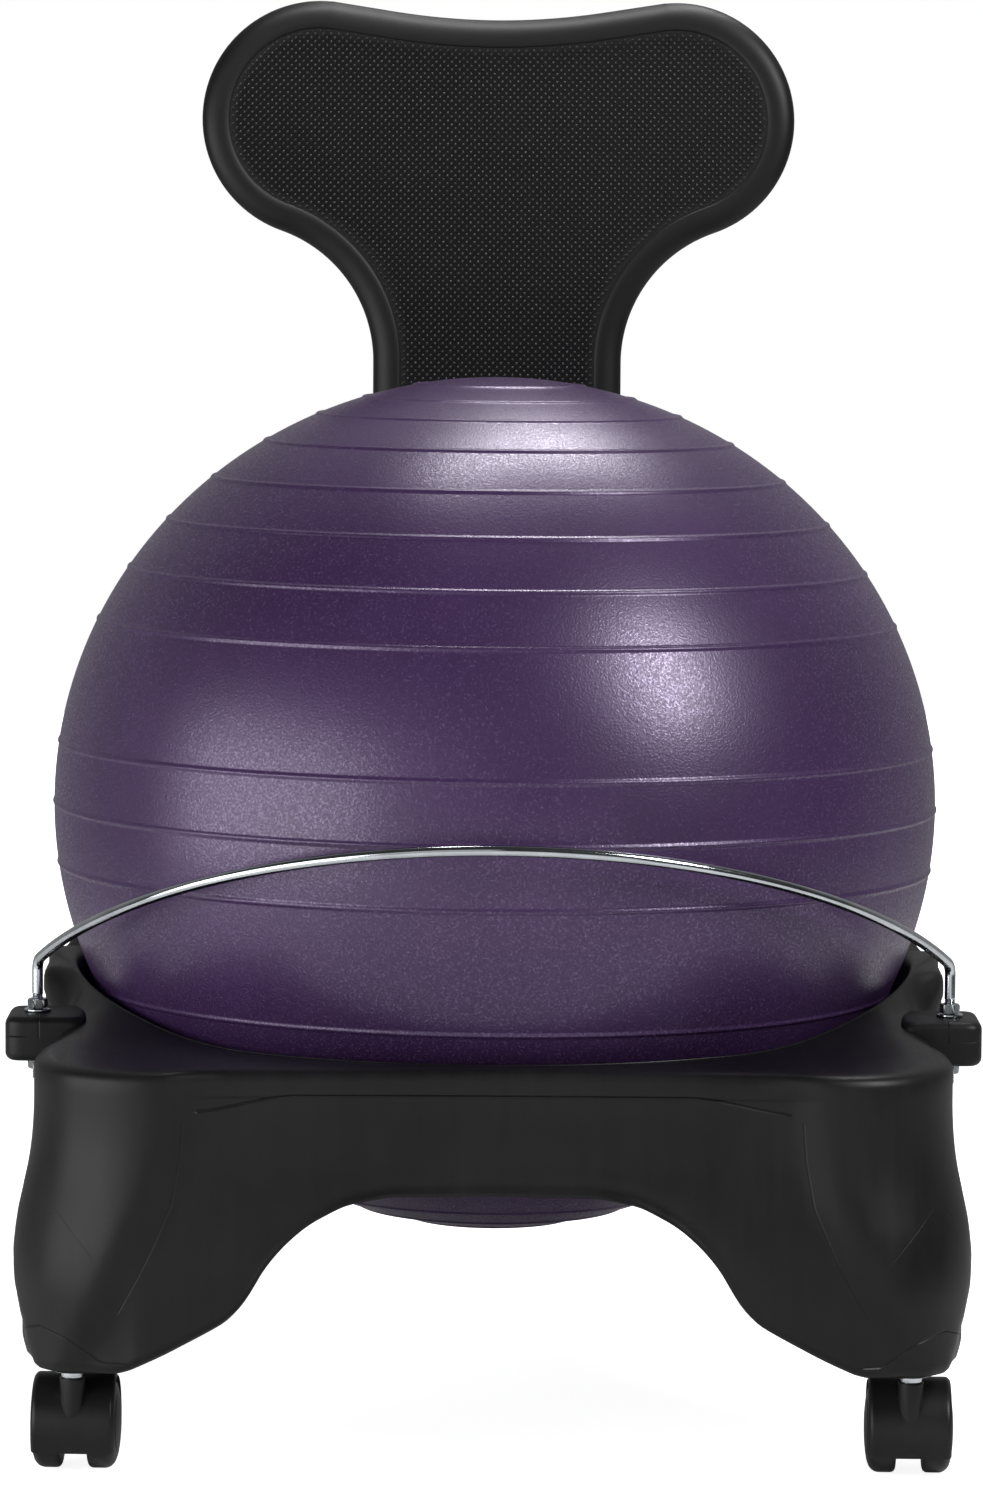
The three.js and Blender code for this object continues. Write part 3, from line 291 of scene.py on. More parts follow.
def backPlasticMaterial(name, v):
    # Dots stand where cos(2 pi x / pitch) * cos(2 pi z / pitch) peaks, on the darker panel inside the border; their
    # tops carry a painted glint, a paler grey
    material, shader, where = nodeMaterial(name, v["border"], 0.45)
    wave = 2 * math.pi / v["dotPitch"]
    places = [addNode(where, "SeparateXYZ", {0: where}, axis) for axis in "XZ"]
    across, up = (mathNode("COSINE", mathNode("MULTIPLY", place, wave)) for place in places)
    peaks = rangeNode(mathNode("MULTIPLY", across, up), *v["dotRange"], 0, 1)
    panel = rangeNode(attributeNode(shader, "panel"), *v["panelRange"], 0, 1)
    dots = mathNode("MULTIPLY", peaks, panel)
    cloud = noiseNode(where, v["cloudScale"], 4, 0.5)
    shade = weighedSum((panel, v["panelShade"]), (dots, 1 - v["panelShade"]))
    # The tops of the dots are painted a paler grey: a painted glint, not the plastic's own colour
    color = colourRamp(shade, (0.0, v["border"]), (v["panelShade"], v["panel"]), (1.0, v["paintedDotGlint"]))
    rough = rangeNode(panel, 0, 1, v["borderRoughness"], v["panelRoughness"])
    rough = mathNode("ADD", rough, mathNode("MULTIPLY", cloud, v["cloudRoughness"]))
    feed(shader, {"Specular IOR Level": v["gloss"], "Base Color": color, "Roughness": rough})
    grain = noiseNode(where, v["grainScale"], 2, 0.5)
    bumpChain(shader, (grain, v["grainDepth"], 0.5), (dots, v["dotRise"], 1.0))
    return material


ballVinyl = dict(
    color=(0.031, 0.011, 0.054), paler=(0.043, 0.017, 0.072), flake=(0.15, 0.10, 0.21), roughness=(0.50, 0.20),
    coat=0.15, coatRoughness=0.3, cloudScale=9, speckleScale=760, speckleDepth=0.00020, flakeRange=(0.5, 0.72),
    flakeMost=0.5, pebbleScale=420, pebbleDepth=0.00025,
)


def ballVinylMaterial(name, v):
    # Pearl vinyl: flakes of a paler purple that are glossier than the rest, soft pebbled bump, a light coat
    material, shader, where = nodeMaterial(name, v["color"], 0.36, 0.25)
    speckle = noiseNode(where, v["speckleScale"], 2, 0.6)
    cloud = noiseNode(where, v["cloudScale"], 3, 0.5)
    base = colourRamp(cloud, (0.35, v["color"]), (0.7, v["paler"]))
    blend = shader.id_data.nodes.new("ShaderNodeMix")
    blend.data_type = "RGBA"
    share = rangeNode(speckle, *v["flakeRange"], 0, v["flakeMost"])
    feed(blend, {"Factor": share, "A": base, "B": (*v["flake"], 1)})
    feed(shader, {
        "Base Color": blend.outputs["Result"], "Roughness": rangeNode(speckle, 0.3, 0.7, *v["roughness"]),
        "Coat Weight": v["coat"], "Coat Roughness": v["coatRoughness"],
    })
    pebble = noiseNode(where, v["pebbleScale"], 3, 0.6)
    bumpChain(shader, (pebble, v["pebbleDepth"], 0.35), (speckle, v["speckleDepth"], 0.8))
    return material


def mottledMaterial(name, color, roughness, metallic, fineNoise, blotchNoise, tones, depth):
    # Blotches of two tones over a fine bump; the gloss of metal follows the fine noise, that of rubber the blotches
    material, shader, where = nodeMaterial(name, color, roughness[0], metallic)
    fine, blotch = noiseNode(where, *fineNoise), noiseNode(where, *blotchNoise)
    feed(shader, {
        "Base Color": colourRamp(blotch, *tones),
        "Roughness": rangeNode(fine if metallic else blotch, 0.3, 0.7, *roughness),
    })
    bumpChain(shader, (fine, depth, 0.5))
    return material


def metalMaterial(name, color, roughness, metallic=1.0):
    tones = (0.3, tuple(0.8 * c for c in color)), (0.7, color)
    return mottledMaterial(name, color, roughness, metallic, (240, 4, 0.6), (60, 3, 0.5), tones, 0.00003)


def rubberMaterial(name, color, roughness):
    tones = (0.35, color), (0.7, tuple(min(1, 1.5 * c) for c in color))
    return mottledMaterial(name, color, roughness, 0.0, (700, 3, 0.6), (40, 3, 0.5), tones, 0.00006)


basePlasticLook = mouldedPlasticMaterial("base_plastic_look", mouldedPlastic, [
    ("footSeam", 0.0008, 0.0005), ("creaseSeam", 0.0009, 0.00025), ("foldSeam", 0.0007, 0.00015),
    ("rollSeam", 0.0010, 0.0007), ("mouthSeam", 0.0014, 0.003)], "rubbed")
lugPlasticLook = mouldedPlasticMaterial("lug_plastic_look", mouldedPlastic, [
    ("mouldSeam", 0.0005, 0.0004), ("markSeam", 0.0006, 0.0004)])
casterPlastic = dict(
    mouldedPlastic, color=(0.006, 0.006, 0.0066), paler=(0.011, 0.011, 0.012), roughness=(0.3, 0.44),
)
casterPlasticLook = mouldedPlasticMaterial("caster_plastic_look", casterPlastic)
backPlasticLook = backPlasticMaterial("back_plastic_look", backPlastic)
ballVinylLook = ballVinylMaterial("ball_vinyl_look", ballVinyl)
zincLook = metalMaterial("zinc_look", (0.54, 0.57, 0.60), (0.09, 0.15))
blackSteelLook = metalMaterial("black_steel_look", (0.03, 0.03, 0.033), (0.34, 0.5), 0.7)
brassLook = metalMaterial("brass_look", (0.62, 0.44, 0.18), (0.25, 0.4))
plugLook = rubberMaterial("plug_look", (0.62, 0.6, 0.56), (0.5, 0.65))
print("materials ready")


# Ball

ball = dict(
    radius=0.254, halfHeight=0.245, middle=0.346, around=250, rowDegrees=1.5,
    ribDegrees=[8.2, 25.4, 33.4, 41.6, 49.7, 58.1, 65.8, 72.2, 79], ribHalfWidth=0.0023, ribRise=0.0008, ribRows=15,
    ribReachShare=1.5, ribClearShare=1.7, tiltDegrees=0.3, noseUpDegrees=0.8, valveRadius=0.014, valveDepth=0.0016,
    valveRows=14, valveTurn=0.09,
)


def makeBall(v):
    # (R cos a cos b, R cos a sin b, H sin a) at latitude a and longitude b, pushed outwards by the ribs,
    # each a raised cosine over the distance along the meridian, and drawn in round the valve at the bottom
    ribs = np.radians([0] + v["ribDegrees"] + [-d for d in v["ribDegrees"]])
    steps = np.linspace(-v["ribReachShare"], v["ribReachShare"], v["ribRows"])
    near = (steps * v["ribHalfWidth"] / v["radius"])[None, :] + np.sort(ribs)[:, None]
    even = np.radians(np.arange(-90, 90.01, v["rowDegrees"]))
    clear = v["ribClearShare"] * v["ribHalfWidth"] / v["radius"]
    far = np.min(np.abs(even[:, None] - ribs[None, :]), axis=1) > clear
    valve = -math.pi / 2 + np.linspace(0, v["valveTurn"], v["valveRows"])
    a = np.unique(np.concatenate([near.ravel(), even[far], valve]))
    a = a[(a >= -math.pi / 2) & (a <= math.pi / 2)][:, None]
    b = circle(v["around"])[None, :]
    offset = np.abs(a[:, :, None] - ribs[None, None, :]) * v["radius"] / v["ribHalfWidth"]
    rise = (v["ribRise"] * np.where(offset < 1, (1 + np.cos(math.pi * np.minimum(offset, 1))) / 2, 0)).sum(-1)
    away = (a + math.pi / 2) * v["radius"] / v["valveRadius"]
    rise = rise - v["valveDepth"] * (1 - smooth(away))
    reach = v["radius"] * np.cos(a) + rise * np.cos(a)
    x, y = reach * np.cos(b), reach * np.sin(b)
    z = v["halfHeight"] * np.sin(a) + rise * np.sin(a) + 0 * b
    turn, nose = math.radians(v["tiltDegrees"]), math.radians(v["noseUpDegrees"])
    x, z = x * math.cos(turn) + z * math.sin(turn), -x * math.sin(turn) + z * math.cos(turn)
    y, z = y * math.cos(nose) + z * math.sin(nose), -y * math.sin(nose) + z * math.cos(nose)
    return np.stack([x, y + centreY, z + v["middle"]], -1)


ballForm = standIn("ball", makeBall(ball), ballVinylLook, "ball", "ball_skin", 60)
print("ball", len(ballForm.data.polygons))

# Base

base = dict(
    halfWidth=0.259, halfDepth=0.266, corner=0.072, around=720, crowding=0.0275, footHeight=0.060, archHeight=0.160,
    archHalfWidth=0.196, plainRound=0.03, ledge=0.229, ledgeSlope=0.02, topInset=0.016, topEdge=0.013,
    topRoundShare=1.15, footInset=0.019, archEdge=0.005, archEdgePower=8, lowRoundShares=(1.3, 1.1),
    bulgeHeight=0.131, hole=0.2060, holeRound=0.003, seat=0.197, seatGap=0.0009, seatRound=0.002, dish=0.2323,
    dishDrop=0.005, dishRound=0.007, wallGap=0.006, lipWidth=0.020, lipRound=0.006, lipStub=0.0012, lipGrowth=10,
    lipFootRounds=(0.0005, 0.010), towerHeight=0.400, towerFace=0.293, towerSide=(0.098, 0.080), towerFootRound=0.02,
    riseHalfDegrees=115, risePower=1.6, riseBoost=1.06, rimLift=0.024, rim=(74.9, 10), brim=(35, 55),
    rimEnd=(100, 30), legBulge=0.0075, leg=(0.150, 0.034), creaseRun=0.022, footSink=0.0022, sinkTop=0.098,
    sinkRise=0.012, sink=(0.190, 0.015), stepDepth=0.0009, step=(0.160, 0.02), stepBelow=0.0015, stepDrop=0.0012,
    stepFoot=0.0014, stepRounds=(0.0012, 0.0008),
)
archShares = np.array([
    [0, 0], [0.3, 0.01], [0.42, 0.055], [0.523, 0.165], [0.582, 0.275], [0.628, 0.385],
    [0.659, 0.49], [0.684, 0.6], [0.75, 0.71], [0.868, 0.82], [0.985, 0.93], [1.065, 1],
])
sideInsetShares = np.array([[0.316, 0], [0.422, 0.12], [0.546, 0.49], [0.681, 0.89], [0.815, 1], [1, 1]])
creaseHeights = np.array([
    [0.060, 0.232], [0.080, 0.215], [0.095, 0.203], [0.119, 0.190], [0.130, 0.1845],
    [0.155, 0.1735], [0.180, 0.169], [0.205, 0.167], [0.222, 0.167],
])
footSeamHeights = np.array([
    [0.15, 0.055], [0.19, 0.066], [0.2, 0.069], [0.211, 0.069],
    [0.222, 0.0765], [0.23, 0.082], [0.25, 0.088], [0.28, 0.09],
])


def softTable(table, place, spanShare=0.02, steps=7):
    # A table's straight lines, averaged over a short span so that their corners are rounded
    span = (table[-1, 0] - table[0, 0]) * spanShare
    shifts = np.linspace(-span, span, steps)
    return np.mean([np.interp(place + s, table[:, 0], table[:, 1]) for s in shifts], axis=0)


def ballReach(height):
    rise = (height - ball["middle"]) / ball["halfHeight"]
    return ball["radius"] * np.sqrt(np.maximum(0, 1 - rise * rise))


def archUnderside(v, x, y):
    across = np.minimum(np.abs(x), np.abs(y)) / v["archHalfWidth"]
    return v["archHeight"] - (v["archHeight"] - v["footHeight"]) * softTable(archShares, across)


def planReach(v, dx, dy):
    # Distance from the ball's axis to the rounded rectangle in a direction, without the legs' bulge
    face = np.minimum(v["halfWidth"] / np.maximum(np.abs(dx), 1e-9), v["halfDepth"] / np.maximum(np.abs(dy), 1e-9))
    cornerX, cornerY = v["halfWidth"] - v["corner"], v["halfDepth"] - v["corner"]
    inCorner = (np.abs(dx) * face > cornerX) & (np.abs(dy) * face > cornerY)
    along = cornerX * np.abs(dx) + cornerY * np.abs(dy)
    root = np.sqrt(np.maximum(0, v["corner"] ** 2 - cornerX ** 2 - cornerY ** 2 + along ** 2))
    return np.where(inCorner, along + root, face), face


def baseSections(v):
    # For each direction round the ball's axis, a closed outline of (radius, height) whose corners are rounded
    a = circle(v["around"])
    a = a - v["crowding"] * np.sin(4 * a)
    dx, dy = np.sin(a), -np.cos(a)
    fromRear = np.arctan2(np.abs(dx), dy)
    turn = np.minimum(1, fromRear / math.radians(v["riseHalfDegrees"])) * math.pi
    rise = np.minimum(1, v["riseBoost"] * ((1 + np.cos(turn)) / 2) ** v["risePower"])
    behind = np.where(dy > 0, v["towerFace"] * np.abs(dx) / np.maximum(dy, 1e-6), 9.0)
    tower = 1 - ramp(behind, *v["towerSide"])
    lip = smooth(rise * v["lipGrowth"])
    rounding = mix(v["lipStub"] / 3, v["lipRound"], lip)
    fromFront = 180 - np.degrees(fromRear)
    fade = 1 - ramp(fromFront, *v["rimEnd"])
    rim = ramp(fromFront, *v["rim"]) * fade
    brim = ramp(fromFront, *v["brim"]) * fade
    rimTop = v["ledge"] + v["rimLift"] * rim
    inset = v["topInset"] * (1 - rim)
    top = np.maximum(v["ledge"] + v["rimLift"] * brim, mix(v["ledge"], v["towerHeight"], rise))
    plain, face = planReach(v, dx, dy)
    across = np.minimum(np.abs(dx), np.abs(dy)) * face
    wallInside = lambda height: ballReach(np.minimum(height, ball["middle"])) + v["wallGap"]
    lipInner = np.maximum(v["dish"] + v["lipStub"], wallInside(top))
    lipFull = mix(lipInner + v["lipWidth"], v["towerFace"] / np.maximum(dy, 0.5), tower)
    lipOuter = mix(lipInner + v["lipStub"], lipFull, lip)
    footReach = lipOuter + rounding / 3 * (1 - tower)
    reach = plain + v["legBulge"] * ramp(across, *v["leg"])
    topReach = np.maximum(reach - inset, footReach + rounding / 2)
    ledge = rimTop - v["ledgeSlope"] * np.maximum(0, topReach - v["halfWidth"])
    low = archUnderside(v, dx * reach, dy * reach)
    foot = smooth((v["archHeight"] - low) / (v["archHeight"] - v["footHeight"]))
    brow = ledge - v["topEdge"]

    def bulgedReach(height):
        # the legs stand proud of the apron outside a crease that leans outwards towards the foot, and the foot is
        # sunk a little
        crease = softTable(creaseHeights, height)
        sunk = v["footSink"] * smooth((v["sinkTop"] - height) / v["sinkRise"]) * ramp(across, *v["sink"])
        return plain + v["legBulge"] * ramp(across, crease, v["creaseRun"]) - sunk

    def wallReach(height):
        drawnIn = inset * softTable(sideInsetShares, (height - v["footHeight"]) / (v["ledge"] - v["footHeight"]))
        push = topReach - (reach - inset)
        return bulgedReach(height) - drawnIn + push * ramp(height, v["bulgeHeight"], brow - v["bulgeHeight"])

    full = np.ones_like(a)
    corners, radii = [], []

    def add(radius, height, round_):
        corners.append(np.stack([radius * full, height * full], -1))
        radii.append(round_ * full)

    add(ballReach(v["seat"]) + v["seatGap"], v["seat"], v["seatRound"])
    add(v["dish"], v["ledge"] - v["dishDrop"], v["dishRound"])
    between = (0.2, 0.4, 0.6, 0.8)
    for share in between:
        height = mix(v["ledge"] - v["dishDrop"] * 0.8, top - rounding, share)
        stub = v["dish"] + v["lipStub"] * share * 0.9
        add(np.maximum(stub, wallInside(height)), height, v["plainRound"])
    add(lipInner, top, rounding * 1.4)
    add(lipOuter, top, rounding * 1.4)
    lipFoot = mix(top - 1.5 * rounding, rimTop - v["lipStub"] / 2, lip)
    add(footReach, mix(lipFoot, mix(ledge, top, 0.6), tower), mix(*v["lipFootRounds"], lip))
    topRound = mix(v["topEdge"] * v["topRoundShare"], v["towerFootRound"], tower)
    add(np.maximum(topReach, footReach + v["lipStub"] / 3), mix(ledge, mix(ledge, top, 0.2), tower), topRound)
    stepHeight = brow - v["stepBelow"]
    step = v["stepDepth"] * (1 - ramp(across, *v["step"])) * (1 - tower)
    add(wallReach(stepHeight) + step * 0.2, stepHeight, v["stepRounds"][0])
    add(wallReach(stepHeight - v["stepDrop"]) - step, stepHeight - v["stepFoot"], v["stepRounds"][1])
    for share in (0.9, 0.8, 0.7, 0.6, 0.5, 0.4, 0.3, 0.2, 0.1):
        height = mix(low, brow, share)
        edge = v["archEdge"] * (1 - share) ** v["archEdgePower"] * (1 - foot)
        add(wallReach(height) - step * smooth((share - 0.6) / 0.3) - edge, height, v["plainRound"])
    lowReach = wallReach(low)
    archRoundShare, footRoundShare = v["lowRoundShares"]
    add(lowReach, low, mix(v["archEdge"] * archRoundShare, v["footInset"] * footRoundShare, foot))
    for share in between:
        radius = mix(lowReach, v["hole"], share)
        add(radius, archUnderside(v, dx * radius, dy * radius), v["plainRound"])
    add(v["hole"], archUnderside(v, dx * v["hole"], dy * v["hole"]), v["holeRound"])
    loop = roundLoop(np.stack(corners, 1), np.stack(radii, 1), 4)
    x = loop[..., 0] * dx[:, None]
    y = loop[..., 0] * dy[:, None] + centreY
    return np.stack([x, y, loop[..., 1]], -1)


seams = dict(
    fade=0.02, face=(0.238, 0.004), creaseLow=0.096, creaseHigh=0.202, foldHeight=0.130, foldAcross=0.218,
    foldSlope=1.11, foldShare=0.6, foldLead=0.0003, foldStart=0.214, foldEnd=0.160, rollHeight=0.2140, rollDrop=0.009,
    rollBend=(0.105, 0.062), rollEnd=0.163, mouthHalfX=0.0769, mouthY=0.273, mouthHalfY=0.0103, mouthLow=0.396,
    rubbedLow=(0.2235, 0.003), rubbedHigh=(0.240, 0.014), rubbedRear=(-0.06, 0.05),
)


def baseSeams(points, v):
    # Signed distances, in metres, to the lines that the mould leaves on the base, each with a fade that is 0 along
    # the line and grows where the line ends
    x, y, z = np.abs(points[..., 0]), points[..., 1] - centreY, points[..., 2]
    across, along = np.minimum(x, np.abs(y)), np.maximum(x, np.abs(y))
    inside = v["fade"] * (1 - ramp(along, *v["face"]))
    end = lambda place, run: v["fade"] * smooth(place / run)
    return {
        # round each foot, highest at the leg's outer side
        "footSeam": z - np.interp(across, footSeamHeights[:, 0], footSeamHeights[:, 1]),
        "footSeamFade": inside,
        # along the crease between leg and apron
        "creaseSeam": across - np.interp(z, creaseHeights[:, 0], creaseHeights[:, 1]),
        "creaseSeamFade": inside + end(v["creaseLow"] - z, 0.006) + end(z - v["creaseHigh"], 0.004),
        # a fold that slants over the leg
        "foldSeam": v["foldShare"] * (z - v["foldHeight"] - (across - v["foldAcross"]) * v["foldSlope"]),
        "foldSeamFade": inside + v["foldLead"] + end(v["foldStart"] - across, 0.004) + end(z - v["foldEnd"], 0.006),
        # under the rolled top edge of the front and the rear, bending down towards the creases
        "rollSeam": z - v["rollHeight"] + v["rollDrop"] * ramp(x, *v["rollBend"]),
        "rollSeamFade": inside + end(x - v["rollEnd"], 0.004) + end(x - np.abs(y), 0.01),
        # round the mouth of the backrest's socket, a rectangle in the top of the tower
        "mouthSeam": np.maximum(x - v["mouthHalfX"], np.abs(y - v["mouthY"]) - v["mouthHalfY"]),
        "mouthSeamFade": end(v["mouthLow"] - z, 0.002),
        # the ledge in front of the ball, rubbed smooth
        "rubbed": ramp(z, *v["rubbedLow"]) * (1 - ramp(z, *v["rubbedHigh"])) * (1 - ramp(y, *v["rubbedRear"])),
    }


basePoints = baseSections(base)
baseForm = gridMesh("base_form", basePoints, wrapRows=True, fields=baseSeams(basePoints, seams), sharpDegrees=50)
dress(baseForm, basePlasticLook, "base", "base_plastic", "base_shell")
print("base", len(baseForm.data.polygons))

# Lugs that hold the bar's ends

lug = dict(
    inner=0.228, outer=0.274, depth=0.052, low=0.212, high=0.237, y=centreY - 0.100, corner=0.010, edge=0.0045,
    seamHeight=0.2262, seamEnd=0.256, mark=0.2545, markFront=0.018, markLow=0.225,
)


def makeLug(side, v):
    # Rounded rectangles stacked in height, each drawn in near the top and bottom by a quarter circle
    middle, half = (v["inner"] + v["outer"]) / 2, (v["outer"] - v["inner"]) / 2
    quarter = np.linspace(0, math.pi / 2, 7)
    drawnIn, rise = (1 - np.sin(quarter)) * v["edge"], v["edge"] * (1 - np.cos(quarter))
    plain = np.linspace(v["low"] + v["edge"], v["high"] - v["edge"], 10)[1:-1]
    inset = np.concatenate([[half], drawnIn, np.zeros(8), drawnIn[::-1], [half]])
    height = np.concatenate([[v["low"]], v["low"] + rise, plain, (v["high"] - rise)[::-1], [v["high"]]])
    rings = []
    for drawn, z in zip(inset, height):
        w, d = max(half - drawn, 1e-5), max(v["depth"] / 2 - drawn, 1e-5)
        square = np.array([[-w, -d], [w, -d], [w, d], [-w, d]])
        loop = roundLoop(square, np.full(4, max(v["corner"] - drawn, 1e-5)), 8)
        x, y = side * (middle + loop[:, 0]), v["y"] + loop[:, 1]
        rings.append(np.column_stack([x, y, np.full(len(loop), z)]))
    points = np.array(rings)
    across, depth, high = np.abs(points[..., 0]), points[..., 1] - v["y"], points[..., 2]
    markEnds = smooth((depth + v["markFront"]) / 0.004), smooth((v["markLow"] - high) / 0.002)
    return points, {
        "mouldSeam": high - v["seamHeight"],
        "mouldSeamFade": 0.004 * smooth((v["seamEnd"] - across) / 0.004),
        "markSeam": across - v["mark"],
        "markSeamFade": 0.01 * markEnds[0] + 0.01 * markEnds[1],
    }


for side, word in bothSides:
    lugPoints, lugFields = makeLug(side, lug)
    lugForm = gridMesh("lug_form_" + word, lugPoints, fields=lugFields, sharpDegrees=60)
    dress(lugForm, lugPlasticLook, "base", "base_plastic", "base_shell")
print("lugs")

# Retaining bar

bar = dict(
    radius=0.0031, halfSpan=0.257, endDepth=0.100, apexDepth=0.269, bend=0.266, apex=0.350, bendRadius=0.008,
    bendRows=12, arcRows=150, low=0.199, threadTop=0.2475, threadDepth=0.00045, pitch=0.001, pitchRows=6, sides=28,
)


def barPath(v):
    # Upright end, a round bend, and a circle's arc in plan whose height grows in step with its depth
    sweep = v["apexDepth"] - v["endDepth"]
    radius = (v["halfSpan"] ** 2 + sweep ** 2) / (2 * sweep)
    half = math.asin(v["halfSpan"] / radius)

    def arc(turn):
        depth = -v["apexDepth"] + radius * (1 - np.cos(turn))
        share = (depth + v["endDepth"]) / (v["endDepth"] - v["apexDepth"])
        return np.stack([radius * np.sin(turn), depth, mix(v["bend"], v["apex"], share)], -1)

    corner = arc(np.array(-half))
    away = arc(np.array(-half * 0.98)) - corner
    away /= np.linalg.norm(away)
    down = np.array([0, 0, -1.0])
    angle = math.acos(float(away @ down)) / 2
    back = v["bendRadius"] / math.tan(angle)
    centre = corner + (away + down) / np.linalg.norm(away + down) * v["bendRadius"] / math.sin(angle)
    start, end = corner + down * back - centre, corner + away * back - centre
    span = math.acos(float(start @ end) / (np.linalg.norm(start) * np.linalg.norm(end)))
    t = np.linspace(0, 1, v["bendRows"])[:, None]
    bend = centre + (np.sin((1 - t) * span) * start + np.sin(t * span) * end) / math.sin(span)
    threadHeights = np.arange(v["low"], v["threadTop"], v["pitch"] / v["pitchRows"])
    plainHeights = np.linspace(v["threadTop"] + 0.0004, corner[2] - back - 0.001, 4)
    heights = np.concatenate([threadHeights, plainHeights])
    upright = np.column_stack([np.full_like(heights, corner[0]), np.full_like(heights, corner[1]), heights])
    turns = np.linspace(-half + back / radius * 1.3, half - back / radius * 1.3, v["arcRows"])
    left = np.concatenate([upright, bend])
    right = left[::-1] * np.array([-1, 1, 1])
    path = np.concatenate([left, arc(turns), right])
    height = np.concatenate([left[:, 2], np.full(len(turns), 1.0), right[:, 2]])
    return path, height


def makeBar(v):
    # A circle carried along the path, square to it; the radius follows a screw thread near both ends
    path, height = barPath(v)
    tangent = np.gradient(path, axis=0)
    tangent /= np.linalg.norm(tangent, axis=1)[:, None]
    sideways = np.cross(tangent, [0, 1.0, 0])
    sideways /= np.linalg.norm(sideways, axis=1)[:, None]
    other = np.cross(tangent, sideways)
    a = circle(v["sides"])[None, :]
    screw = np.abs(((height[:, None] / v["pitch"] + a / (2 * math.pi)) % 1) * 2 - 1)
    threaded = 1 - smooth((height[:, None] - v["threadTop"] + 0.001) / 0.001)
    radius = (v["radius"] - v["threadDepth"] * screw * threaded)[..., None]
    out = np.cos(a)[..., None] * sideways[:, None, :] + np.sin(a)[..., None] * other[:, None, :]
    ring = path[:, None, :] + radius * out
    first, last = (np.broadcast_to(path[k][None, None, :], ring[:1].shape) for k in (0, -1))
    return np.concatenate([first, ring, last]) + np.array([0, centreY, 0])


standIn("retaining_bar", makeBar(bar), zincLook, "base", "zinc_steel", 50)

fastener = dict(
    flats=0.010, height=0.0055, hole=0.0034, face=0.0047, cone=0.0054, coneLow=0.0004, coneHigh=0.0009,
    washerRadius=0.0075, washer=0.0013, gap=0.0003, spin=0.3,
)


def hexNut(v, low):
    # Six flats cut by a cone at both ends, round a bore
    a = circle(96)
    flats = hexReach(v["flats"] / 2, a)
    bore, high = np.full_like(a, v["hole"]), low + v["height"]
    half = [(bore, 0), (np.minimum(flats, v["face"]), 0), (np.minimum(flats, v["cone"]), v["coneLow"])]
    half.append((flats, v["coneHigh"]))
    rows = [ringAt(reach, a, low + rise) for reach, rise in half]
    rows += [ringAt(reach, a, high - rise) for reach, rise in half[::-1]]
    return np.array(rows + [ringAt(bore, a, low)])


def ringWasher(outer, inner, low, high, edgeShare=0.3, mostEdge=0.0004):
    edge = min((high - low) * edgeShare, mostEdge)
    rows = [(inner, low, 0)] * 2 + [(outer, low, edge), (outer, high, edge), (inner, high, edge), (inner, low, 0)]
    return turned(rows, 64, 3)


for side, word in bothSides:
    at = (side * bar["halfSpan"], centreY - bar["endDepth"], 0)
    gap, thick = fastener["gap"], fastener["washer"]
    upper, lower = lug["high"] + gap, lug["low"] - gap - thick
    levels = ("upper_", upper, upper + thick + gap), ("lower_", lower, lower - gap - fastener["height"])
    for level, low, nutLow in levels:
        washer = ringWasher(fastener["washerRadius"], fastener["hole"], low, low + thick)
        for stem, points in (("bar_washer_", washer), ("bar_nut_", hexNut(fastener, nutLow))):
            points = placed(points, fastener["spin"] * side, at)
            standIn(stem + level + word, points, zincLook, "base", "zinc_steel", 30)
print("bar and its nuts")

# Backrest

back = dict(
    front=0.263, thick=0.020, low=0.3003, postHalf=0.0766, postCorner=0.020, lobeX=0.1095, lobeZ=0.7375, lobe=0.0725,
    waist=0.085, slopeDegrees=8.8, dip=0.420, border=0.017, round=0.013, recess=0.0012, wing=0.014, lean=0.009,
    bendStart=0.470, bendRun=0.190, topSteps=16, lobeSteps=56, rearRun=0.004, rearSink=0.0012, panelLead=0.0005,
    panelGrowth=0.05, offPanel=-0.01,
)


